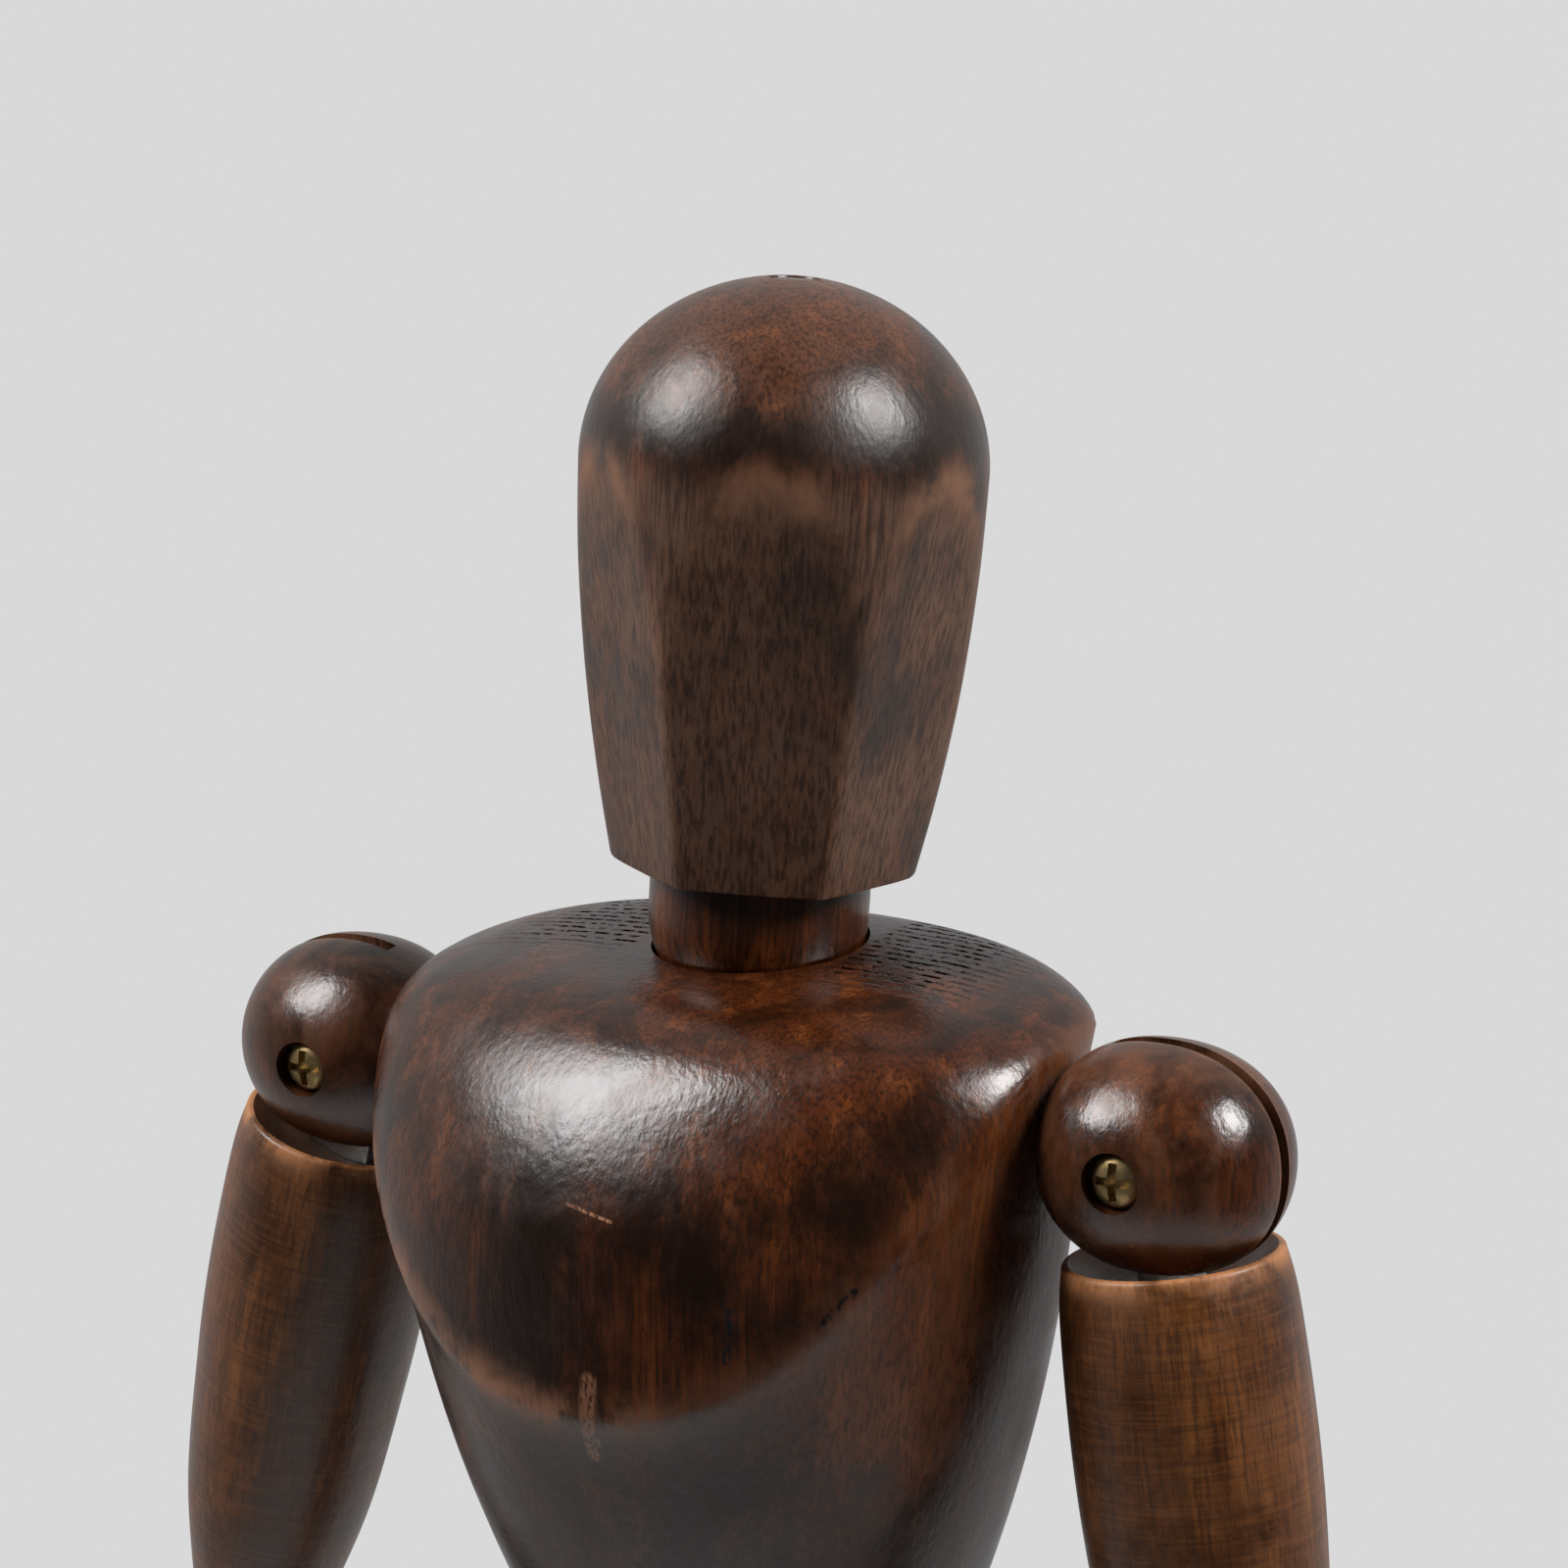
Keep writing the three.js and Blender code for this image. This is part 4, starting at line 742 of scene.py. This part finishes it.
def make_head():
    swell = HEAD_RADIUS - HEAD_FOOT_RADIUS
    side = smooth_curve([
        [HEAD_FOOT_RADIUS, 0.6],
        [HEAD_FOOT_RADIUS + swell * 0.36, HEAD_WIDEST * 0.21],
        [HEAD_FOOT_RADIUS + swell * 0.69, HEAD_WIDEST * 0.46],
        [HEAD_FOOT_RADIUS + swell * 0.92, HEAD_WIDEST * 0.75],
        [HEAD_RADIUS, HEAD_WIDEST],
    ], 80)
    rise = HEAD_HEIGHT - HEAD_WIDEST
    well = 3.65
    stop = math.acos(well / HEAD_RADIUS)
    dome = [
        [HEAD_RADIUS * math.cos(a), HEAD_WIDEST + rise * math.sin(a)]
        for a in [stop * (i + 1) / 70 for i in range(70)]
    ]
    socket = NECK_RADIUS + CUP_GAP
    under = [[0.0, 3.0], [socket, 3.0], [socket, 0.0], [17.5, 0.0], [19.0, 0.0]]
    under += [[20.0, 0.0], [20.5, 0.05], [20.8, 0.25]]
    top = [[well - 0.25, dome[-1][1] - 0.3], [well - 0.25, 76.0], [0.0, 76.0]]
    profile = np.array(under + side + dome + top)
    segments = 240
    slope = (HEAD_RADIUS - FACET_FOOT) / BROW_HEIGHT
    points, wear_and_painted_light, stain_and_painted_light, dull = [], [], [], []
    for k in range(segments):
        angle = 2 * math.pi * k / segments
        for r, z in profile:
            reach = FACET_FOOT + slope * z
            limits = [r]
            for facet in (-1, 0, 1):
                lean = math.cos(angle + math.pi / 2 - facet * FACET_SPACING)
                limits.append(reach / lean if lean > 0.2 else 200.0)
            nearest, second = sorted(limits)[:2]
            apart = (second - nearest) / FACET_ROUNDING
            soft = nearest - FACET_ROUNDING / 2 * math.exp(-apart)
            shown = max(soft, 0.0) if r > 16 and z < 78 else min(r, nearest)
            points.append((shown * math.cos(angle), shown * math.sin(angle), z))
            near = math.exp(-(apart**2)) if r > 16 else 0.0
            brow = math.exp(-(((z - FACE_TOP) / 4.5) ** 2))
            wear_and_painted_light.append(near * (0.1 + 0.75 * brow))
            face = 1.0 if z < FACE_TOP else max(0.0, 1 - (z - FACE_TOP) / 5.0)
            band = math.exp(-(((z - 62.0) / 3.6) ** 2))
            stain_and_painted_light.append(0.75 * band - 0.3 * face - 0.35 * max(0.0, (z - 66.0) / 14.0))
            dull.append(max(face, 0.35))
    rows = len(profile)
    faces = []
    for k in range(segments):
        here, beside = k * rows, (k + 1) % segments * rows
        faces += [(here + i, beside + i, beside + i + 1, here + i + 1) for i in range(rows - 1)]
    obj = mesh_object("head shaped", points, [], faces)
    set_mark(obj, "wear_and_painted_light", wear_and_painted_light)
    set_mark(obj, "stain_and_painted_light", stain_and_painted_light)
    set_mark(obj, "dull", dull)
    face_out(obj)
    return obj


finish(make_head(), "head", "head", "dark_wood", head_place, flat=40)
plug_profile = [[0.0, 72.0], [3.3, 72.0], [3.3, 79.2], [2.9, 79.55], [1.5, 79.65], [0.0, 79.7]]
plug = lathe("crown plug turned", plug_profile, 48)
finish(plug, "crown_plug", "head", "dark_wood", head_place)


# Arms

ARM_DISH = math.hypot(UPPER_ARM_RIM, UPPER_ARM_RIM_DROP)
ELBOW_DISH = ELBOW_RADIUS + DISH_GAP
WRIST_DISH = WRIST_RADIUS + DISH_GAP


def limb_piece(name, sizes, tongue_hole, spigot):
    """Limb with a mortise for the tongue above and a hole for the spigot below."""
    obj, rim_z, end_z = limb(name, *sizes)
    cut(obj, tongue_hole)
    length = sizes[4]
    cut(obj, bar("spigot_hole", spigot[0], -length, -length + spigot[1]))
    limb_wear(obj, rim_z, end_z)
    return obj


def slotted_ball(name, radius, spigot, spigot_top, slot, shank, head_top, tip):
    obj = ball_on_spigot(name, radius, spigot, spigot_top)
    cut(obj, slot)
    return cut(obj, screw_hole(shank, head_top, tip, radius))


def plate(name, outline, thickness):
    """Flat plate from an outline in YZ, centred on x = 0."""
    n = len(outline)
    half = thickness / 2
    points = [(-half, y, z) for y, z in outline] + [(half, y, z) for y, z in outline]
    faces = [tuple(range(n)), tuple(range(2 * n - 1, n - 1, -1))]
    faces += [(i, (i + 1) % n, n + (i + 1) % n, n + i) for i in range(n)]
    obj = mesh_object(name, points, [], faces)
    face_out(obj)
    return obj


def bent_slot(radius, eye, way):
    """Slot through a ball, open below and on one side."""
    out, back = radius + 2, eye + 0.35
    outline = [(-way * back, -out), (way * out, -out), (way * out, back * 1.5), (-way * back, back)]
    return plate("slot", outline, 2 * SLOT_HALF)


def straight_slot(radius, top):
    return box_mesh("slot", (-SLOT_HALF, SLOT_HALF), (-radius - 2, radius + 2), (-radius - 2, top))


def ball_cutter(radius):
    round_side = [[radius * math.cos(a), radius * math.sin(a)] for a in np.linspace(-1.5, 1.5, 40)]
    return lathe("dish", [[0.0, -radius], *round_side, [0.0, radius]], 64)


def bezier(points, steps=14):
    """Points along a curve of two or three handles, without its first point."""
    out = []
    for i in range(1, steps + 1):
        t = i / steps
        level = [np.array(p, float) for p in points]
        while len(level) > 1:
            level = [a * (1 - t) + b * t for a, b in zip(level, level[1:])]
        out.append(tuple(level[0]))
    return out


def make_hand():
    half = 11.5
    outline = [(-6, -4), (6, -4)]
    outline += bezier([(6, -4), (half, -12), (half, -24)])
    outline += bezier([(half, -24), (half, -43.5), (4, -58)])
    outline += [(-2, -58)]
    outline += bezier([(-2, -58), (-half + 1, -43.5), (-half + 1.5, -29)])
    outline += [(-half - 4, -38), (-half - 8, -36)]
    outline += bezier([(-half - 8, -36), (-half - 3, -18), (-6, -4)])[:-1]
    obj = plate("hand", outline, 7.8)
    soften(obj, 2.4, 50, 4)
    cut(obj, ball_cutter(WRIST_DISH))
    return use_boolean(obj, quarter(tongue("hand_tongue", SMALL_EYE, 2.0, 11.8)), "UNION")


def make_arm(name, side, spread, swing_back):
    shoulder = move(side * SHOULDER_OUT, -SHOULDER_AHEAD_OF_WAIST, SHOULDER_Z) @ turn(swing_back, "X")
    arm = shoulder @ turn(-side * spread, "Y")
    elbow = arm @ move(0, 0, -UPPER_ARM_LENGTH)
    lower = elbow @ turn(-ELBOW_BEND, "X")
    wrist = lower @ move(0, 0, -FOREARM_LENGTH)
    arm_foot, forearm_foot = ARM_DISH + TONGUE_DEPTH, ELBOW_DISH + TONGUE_DEPTH
    # Screws: shank across, top of the head and tip, both from the joint's middle
    shoulder_screw, elbow_screw, wrist_screw = (3.5, 14.4, -9.18), (3.0, 10.5, -6.9), (2.0, 6.4, -4.2)
    upper_size = (ARM_DISH, UPPER_ARM_RIM, 16.1, 7.6, UPPER_ARM_LENGTH, ELBOW_DISH, 26)
    lower_size = (ELBOW_DISH, 8.0, 12.2, 5.4, FOREARM_LENGTH, WRIST_DISH, 21)
    barrel_size = (SHOULDER_RADIUS, SHOULDER_REACH, SHOULDER_INNER, WIDE_EYE)
    elbow_slot, wrist_slot = (ELBOW_RADIUS, MIDDLE_EYE, -1), (WRIST_RADIUS, 3.25)

    def put(piece, body, slot, place, build):
        finish(once(piece, build), f"{name}_{piece}", f"{name}_{body}", slot, place, side)

    put("shoulder_barrel", "shoulder", "dark_wood", shoulder,
        lambda: joint_barrel("barrel", *barrel_size, *shoulder_screw))
    put("shoulder_screw", "shoulder", "brass", shoulder, lambda: quarter(screw("screw", *shoulder_screw)))
    put("upper_arm_tongue", "upper_arm", "steel", arm,
        lambda: quarter(tongue("tongue", WIDE_EYE, shoulder_screw[0], arm_foot)))
    put("upper_arm", "upper_arm", "arm_wood", arm,
        lambda: limb_piece("arm", upper_size, quarter(mortise(WIDE_EYE, ARM_DISH, arm_foot)), (4.85, 23.8)))
    put("elbow_ball", "elbow", "dark_wood", elbow,
        lambda: slotted_ball("ball", ELBOW_RADIUS, 4.5, 23.5, bent_slot(*elbow_slot), *elbow_screw))
    put("elbow_screw", "elbow", "brass", elbow, lambda: screw("screw", *elbow_screw))
    put("forearm_tongue", "forearm", "steel", lower,
        lambda: tongue("tongue", MIDDLE_EYE, elbow_screw[0], forearm_foot))
    put("forearm", "forearm", "arm_wood", lower,
        lambda: limb_piece("arm", lower_size, mortise(MIDDLE_EYE, ELBOW_DISH, forearm_foot), (3.35, 16.3)))
    put("wrist_ball", "wrist", "dark_wood", wrist,
        lambda: quarter(
            slotted_ball("ball", WRIST_RADIUS, 3.0, 16.0, straight_slot(*wrist_slot), *wrist_screw)))
    put("wrist_screw", "wrist", "brass", wrist, lambda: quarter(screw("screw", *wrist_screw)))
    put("hand", "hand", "arm_wood", wrist, make_hand)


make_arm("left", 1, 7.3, 0)
make_arm("right", -1, 16.8, 4)


# Legs

THIGH_DISH = math.hypot(THIGH_RIM, THIGH_RIM_DROP)
KNEE_DISH = KNEE_RADIUS + DISH_GAP
ANKLE_DISH = ANKLE_RADIUS + DISH_GAP


def make_foot():
    side_view = [(-62, -28), (22, -28)]
    side_view += bezier([(22, -28), (23, -14), (10, -4.5)])
    side_view += [(-10, -4.5)]
    side_view += bezier([(-10, -4.5), (-26, -13), (-54, -18)])
    side_view += bezier([(-54, -18), (-62, -20), (-62, -28)])[:-1]
    obj = plate("foot", side_view, 40.0)
    half = 16.0
    sole = bezier([(0, 22), (half * 0.9, 22), (half * 0.75, 4), (half * 0.78, -8)])
    sole += bezier([(half * 0.78, -8), (half * 0.85, -24), (half, -30), (half, -42)])
    sole += bezier([(half, -42), (half, -54), (half * 0.5, -62), (-1, -62)])
    sole += bezier([(-1, -62), (-half * 0.9, -62), (-half, -50), (-half, -38)])
    sole += bezier([(-half, -38), (-half, -26), (-half * 0.75, -20), (-half * 0.75, -8)])
    sole += bezier([(-half * 0.75, -8), (-half * 0.75, 4), (-half * 0.9, 22), (0, 22)])
    blank = plate("sole", sole, 30.0)
    blank.data.transform(Matrix(((0, 1, 0, 0), (0, 0, 1, 0), (1, 0, 0, -15), (0, 0, 0, 1))))
    use_boolean(obj, blank, "INTERSECT")
    instep = [(-half - 1, -29), (half + 1, -29), (half + 1, -22)]
    instep += bezier([(half + 1, -22), (half - 1, -9), (7, -3)])
    instep += [(-7, -3)]
    instep += bezier([(-7, -3), (-half + 1, -9), (-half - 1, -22)])[:-1]
    use_boolean(obj, quarter(plate("instep", instep, 140.0)), "INTERSECT")
    cut(obj, ball_cutter(ANKLE_DISH))
    return use_boolean(obj, tongue("foot_tongue", SMALL_EYE, 2.5, 13.8), "UNION")


def make_leg(name, side):
    hip = move(side * HIP_OUT, 0, HIP_Z)
    knee = hip @ move(0, 0, -THIGH_LENGTH)
    ankle = knee @ move(0, 0, -SHIN_LENGTH)
    thigh_foot, shin_foot = THIGH_DISH + TONGUE_DEPTH, KNEE_DISH + TONGUE_DEPTH
    hip_screw, knee_screw, ankle_screw = (4.0, 16.1, -10.2), (3.5, 13.3, -8.7), (2.5, 8.2, -5.4)
    thigh_size = (THIGH_DISH, THIGH_RIM, 19.4, 9.6, THIGH_LENGTH, KNEE_DISH, 34)
    shin_size = (KNEE_DISH, 10.0, 15.4, 6.6, SHIN_LENGTH, ANKLE_DISH, 34)
    barrel_size = (HIP_RADIUS, HIP_REACH, HIP_INNER, WIDE_EYE)
    knee_slot, ankle_slot = (KNEE_RADIUS, WIDE_EYE, 1), (ANKLE_RADIUS, 3.85)

    def put(piece, body, slot, place, build):
        finish(once(piece, build), f"{name}_{piece}", f"{name}_{body}", slot, place, side)

    put("hip_barrel", "hip", "dark_wood", hip, lambda: joint_barrel("barrel", *barrel_size, *hip_screw))
    put("hip_screw", "hip", "brass", hip, lambda: quarter(screw("screw", *hip_screw)))
    put("thigh_tongue", "thigh", "steel", hip,
        lambda: quarter(tongue("tongue", WIDE_EYE, hip_screw[0], thigh_foot)))
    put("thigh", "thigh", "arm_wood", hip,
        lambda: limb_piece(
            "leg", thigh_size, quarter(mortise(WIDE_EYE, THIGH_DISH, thigh_foot)), (5.85, 28.8)))
    put("knee_ball", "thigh", "dark_wood", knee,
        lambda: slotted_ball("ball", KNEE_RADIUS, 5.5, 28.5, bent_slot(*knee_slot), *knee_screw))
    put("knee_screw", "thigh", "brass", knee, lambda: screw("screw", *knee_screw))
    put("shin_tongue", "shin", "steel", knee, lambda: tongue("tongue", WIDE_EYE, knee_screw[0], shin_foot))
    put("shin", "shin", "arm_wood", knee,
        lambda: limb_piece("leg", shin_size, mortise(WIDE_EYE, KNEE_DISH, shin_foot), (4.15, 20.3)))
    put("ankle_ball", "ankle", "dark_wood", ankle,
        lambda: slotted_ball("ball", ANKLE_RADIUS, 3.8, 20.0, straight_slot(*ankle_slot), *ankle_screw))
    put("ankle_screw", "ankle", "brass", ankle, lambda: screw("screw", *ankle_screw))
    put("foot", "foot", "arm_wood", ankle, make_foot)


make_leg("left", 1)
make_leg("right", -1)


# Waist ball, pelvis, rod and base

waist_angles = np.linspace(-0.985, 0.985, 60)
waist_side = [[WAIST_BALL_RADIUS * math.cos(a), WAIST_BALL_RADIUS * math.sin(a)] for a in waist_angles]
waist = lathe("waist ball turned", [[5.8, 0.0], *waist_side, [5.8, 0.0]], 96)
finish(waist, "waist_ball", "waist_ball", "dark_wood", move(0, 0, WAIST_Z))


def make_pelvis():
    under, top = 22.5, 57.0
    profile = [[0.0, under], [44.0, under]] + smooth_curve([
        [46.5, under + 1.5],
        [50.0, under + 9],
        [50 * 0.72 + 30 * 0.28, under * 0.42 + top * 0.58],
        [33.0, top - 3],
    ], 40) + [[30.0, top], [0.0, top]]
    obj = lathe("pelvis carved", profile, 128)
    obj.data.transform(Matrix.Diagonal((1, 0.66, 1, 1)))
    outline = [(-23, 28.5), (-21, 4)]
    outline += bezier([(-21, 4), (-19, -18), (-2, -18)])
    outline += [(16, -18)]
    outline += bezier([(16, -18), (22, -18), (23, 4)])
    outline += [(24, 28.5)]
    block = plate("crotch", outline, 34.0)
    soften(block, 2.0, 50, 3)
    use_boolean(obj, block, "UNION")
    reach = WAIST_BALL_RADIUS + CUP_GAP
    cup = arc(reach, 0.0, reach - 0.001, WAIST_Z - HIP_Z, -1, 30)
    cut(obj, lathe("cup", cup + [[reach, 80.0], [0.0, 80.0]], 96))
    cut(obj, bar("spring room", SPRING_ROOM, 37.0, 60.0))
    rod_hole = bar("rod hole", ROD_HOLE, -22, 28.3)
    rod_hole.data.transform(move(0, ROD_BEHIND_HIPS, 0))
    return cut(obj, rod_hole)


finish(make_pelvis(), "pelvis", "pelvis", "dark_wood", move(0, 0, HIP_Z), flat=45)

rod_profile = [[0.0, ROD_FOOT], [ROD_RADIUS, ROD_FOOT], [ROD_RADIUS, ROD_TOP - 0.8]]
rod = lathe("stand rod turned", rod_profile + [[ROD_RADIUS - 0.8, ROD_TOP], [0.0, ROD_TOP]], 64)
rod.data.transform(move(0, ROD_BEHIND_HIPS, 0))
finish(rod, "stand_rod", "stand", "steel")

inset_radius, inset_height = BASE_RADIUS - BASE_ROUNDING, BASE_HEIGHT - BASE_ROUNDING
corner = [
    [inset_radius + BASE_ROUNDING * math.cos(a), inset_height + BASE_ROUNDING * math.sin(a)]
    for a in np.linspace(0, math.pi / 2, 14)
]
base_profile = [[0.0, 0.0], [BASE_RADIUS - 1, 0.0], [BASE_RADIUS, 1.0], *corner, [0.0, BASE_HEIGHT]]
base = lathe("base turned", base_profile, 192)
base_hole = bar("rod hole", ROD_HOLE, ROD_FOOT - 0.3, BASE_HEIGHT + 2)
base_hole.data.transform(move(0, ROD_BEHIND_HIPS, 0))
cut(base, base_hole)
finish(base, "base", "stand", "stand_wood", grain_turn=turn(90, "Y"))


# Hidden metal keeps its modelled shape

HIDDEN_METAL = [
    "waist_pin_lower", "hip_rod", "waist_spring", "waist_pin_upper",
    "shoulder_rod", "neck_spring", "neck_bolt",
]
for node in HIDDEN_METAL:
    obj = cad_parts[node]
    obj.data.materials.clear()
    obj.data.materials.append(STEEL)


# Floor, background and light


def make_floor():
    """Sheet of paper that fades into the background."""
    bpy.ops.object.select_all(action="DESELECT")
    bpy.ops.mesh.primitive_circle_add(vertices=128, radius=0.9, fill_type="NGON", location=(0, 0, 0))
    floor = bpy.context.active_object
    floor.name = "floor"
    paper = bpy.data.materials.new("paper")
    paper.use_nodes = True
    paper_skin = paper.node_tree.nodes["Principled BSDF"]
    paper_skin.inputs["Base Color"].default_value = (0.66, 0.66, 0.66, 1)
    paper_skin.inputs["Roughness"].default_value = 0.9
    paper_tree = paper.node_tree
    paper_place = paper_tree.nodes.new("ShaderNodeTexCoord")
    reach = paper_tree.nodes.new("ShaderNodeVectorMath")
    reach.operation = "LENGTH"
    paper_tree.links.new(paper_place.outputs["Object"], reach.inputs[0])
    fade = paper_tree.nodes.new("ShaderNodeMapRange")
    fade.interpolation_type = "SMOOTHSTEP"
    paper_tree.links.new(reach.outputs["Value"], fade.inputs["Value"])
    fade.inputs["From Min"].default_value = 0.25
    fade.inputs["From Max"].default_value = 0.88
    clear = paper_tree.nodes.new("ShaderNodeBsdfTransparent")
    blend = paper_tree.nodes.new("ShaderNodeMixShader")
    paper_tree.links.new(fade.outputs["Result"], blend.inputs["Fac"])
    paper_tree.links.new(paper_skin.outputs["BSDF"], blend.inputs[1])
    paper_tree.links.new(clear.outputs["BSDF"], blend.inputs[2])
    paper_tree.links.new(blend.outputs["Shader"], paper_tree.nodes["Material Output"].inputs["Surface"])
    floor.data.materials.append(paper)


def make_world():
    """Even grey behind the figure, and a fill of light that is stronger from behind."""
    world = bpy.data.worlds.new("studio")
    bpy.context.scene.world = world
    world.use_nodes = True
    tree = world.node_tree
    tree.nodes.clear()
    world_out = tree.nodes.new("ShaderNodeOutputWorld")
    seen = tree.nodes.new("ShaderNodeBackground")
    seen.inputs["Color"].default_value = (0.693, 0.693, 0.693, 1)
    fill = tree.nodes.new("ShaderNodeBackground")
    fill.inputs["Color"].default_value = (1.0, 1.0, 1.0, 1)
    away = tree.nodes.new("ShaderNodeVectorMath")
    away.operation = "DOT_PRODUCT"
    away.inputs[1].default_value = (-0.517, 0.856, -0.05)
    where = tree.nodes.new("ShaderNodeTexCoord")
    tree.links.new(where.outputs["Generated"], away.inputs[0])
    spread = tree.nodes.new("ShaderNodeMapRange")
    spread.interpolation_type = "SMOOTHSTEP"
    tree.links.new(away.outputs["Value"], spread.inputs["Value"])
    spread.inputs["From Min"].default_value = -0.5
    spread.inputs["From Max"].default_value = 0.6
    spread.inputs["To Min"].default_value = 0.045
    spread.inputs["To Max"].default_value = 0.5
    tree.links.new(spread.outputs["Result"], fill.inputs["Strength"])
    rays = tree.nodes.new("ShaderNodeLightPath")
    choose = tree.nodes.new("ShaderNodeMixShader")
    tree.links.new(rays.outputs["Is Camera Ray"], choose.inputs["Fac"])
    tree.links.new(fill.outputs["Background"], choose.inputs[1])
    tree.links.new(seen.outputs["Background"], choose.inputs[2])
    tree.links.new(choose.outputs["Shader"], world_out.inputs["Surface"])


def softbox(name, direction, distance, size, power):
    light = bpy.data.lights.new(name, "AREA")
    light.shape = "RECTANGLE"
    light.size, light.size_y = size
    light.energy = power
    lamp = bpy.data.objects.new(name, light)
    bpy.context.scene.collection.objects.link(lamp)
    target = Vector((0, 0, 0.58))
    way = Vector(direction).normalized()
    lamp.location = target + way * distance
    lamp.rotation_euler = way.to_track_quat("Z", "Y").to_euler()


make_floor()
make_world()
softbox("left softbox", (-0.56, -0.48, 0.675), 1.2, (0.5, 0.6), 14.0)
softbox("right softbox", (0.791, 0.091, 0.608), 1.2, (0.45, 0.5), 14.5)


# Camera

CAMERA_DISTANCE = 0.6
AIM_ASIDE, AIM_BACK, AIM_HEIGHT = 0.0037, 0.003, 0.5824
azimuth, elevation, roll = math.radians(31.13), math.radians(11.44), math.radians(-0.92)
level_reach = math.cos(elevation)
back = Vector((math.sin(azimuth) * level_reach, -math.cos(azimuth) * level_reach, math.sin(elevation)))
right = Vector((math.cos(azimuth), math.sin(azimuth), 0))
up = back.cross(right)
across = math.cos(roll) * right + math.sin(roll) * up
upward = -math.sin(roll) * right + math.cos(roll) * up
aim = Vector((AIM_ASIDE * math.cos(azimuth), AIM_BACK + AIM_ASIDE * math.sin(azimuth), AIM_HEIGHT))
lens = bpy.data.cameras.new("camera")
lens.sensor_width = 36.0
lens.lens = 102.04
lens.clip_start = 0.05
camera = bpy.data.objects.new("camera", lens)
bpy.context.scene.collection.objects.link(camera)
turned = Matrix((across, upward, back)).transposed().to_4x4()
camera.matrix_world = Matrix.Translation(aim + back * CAMERA_DISTANCE) @ turned
bpy.context.scene.camera = camera
bpy.context.scene.view_settings.view_transform = "Standard"
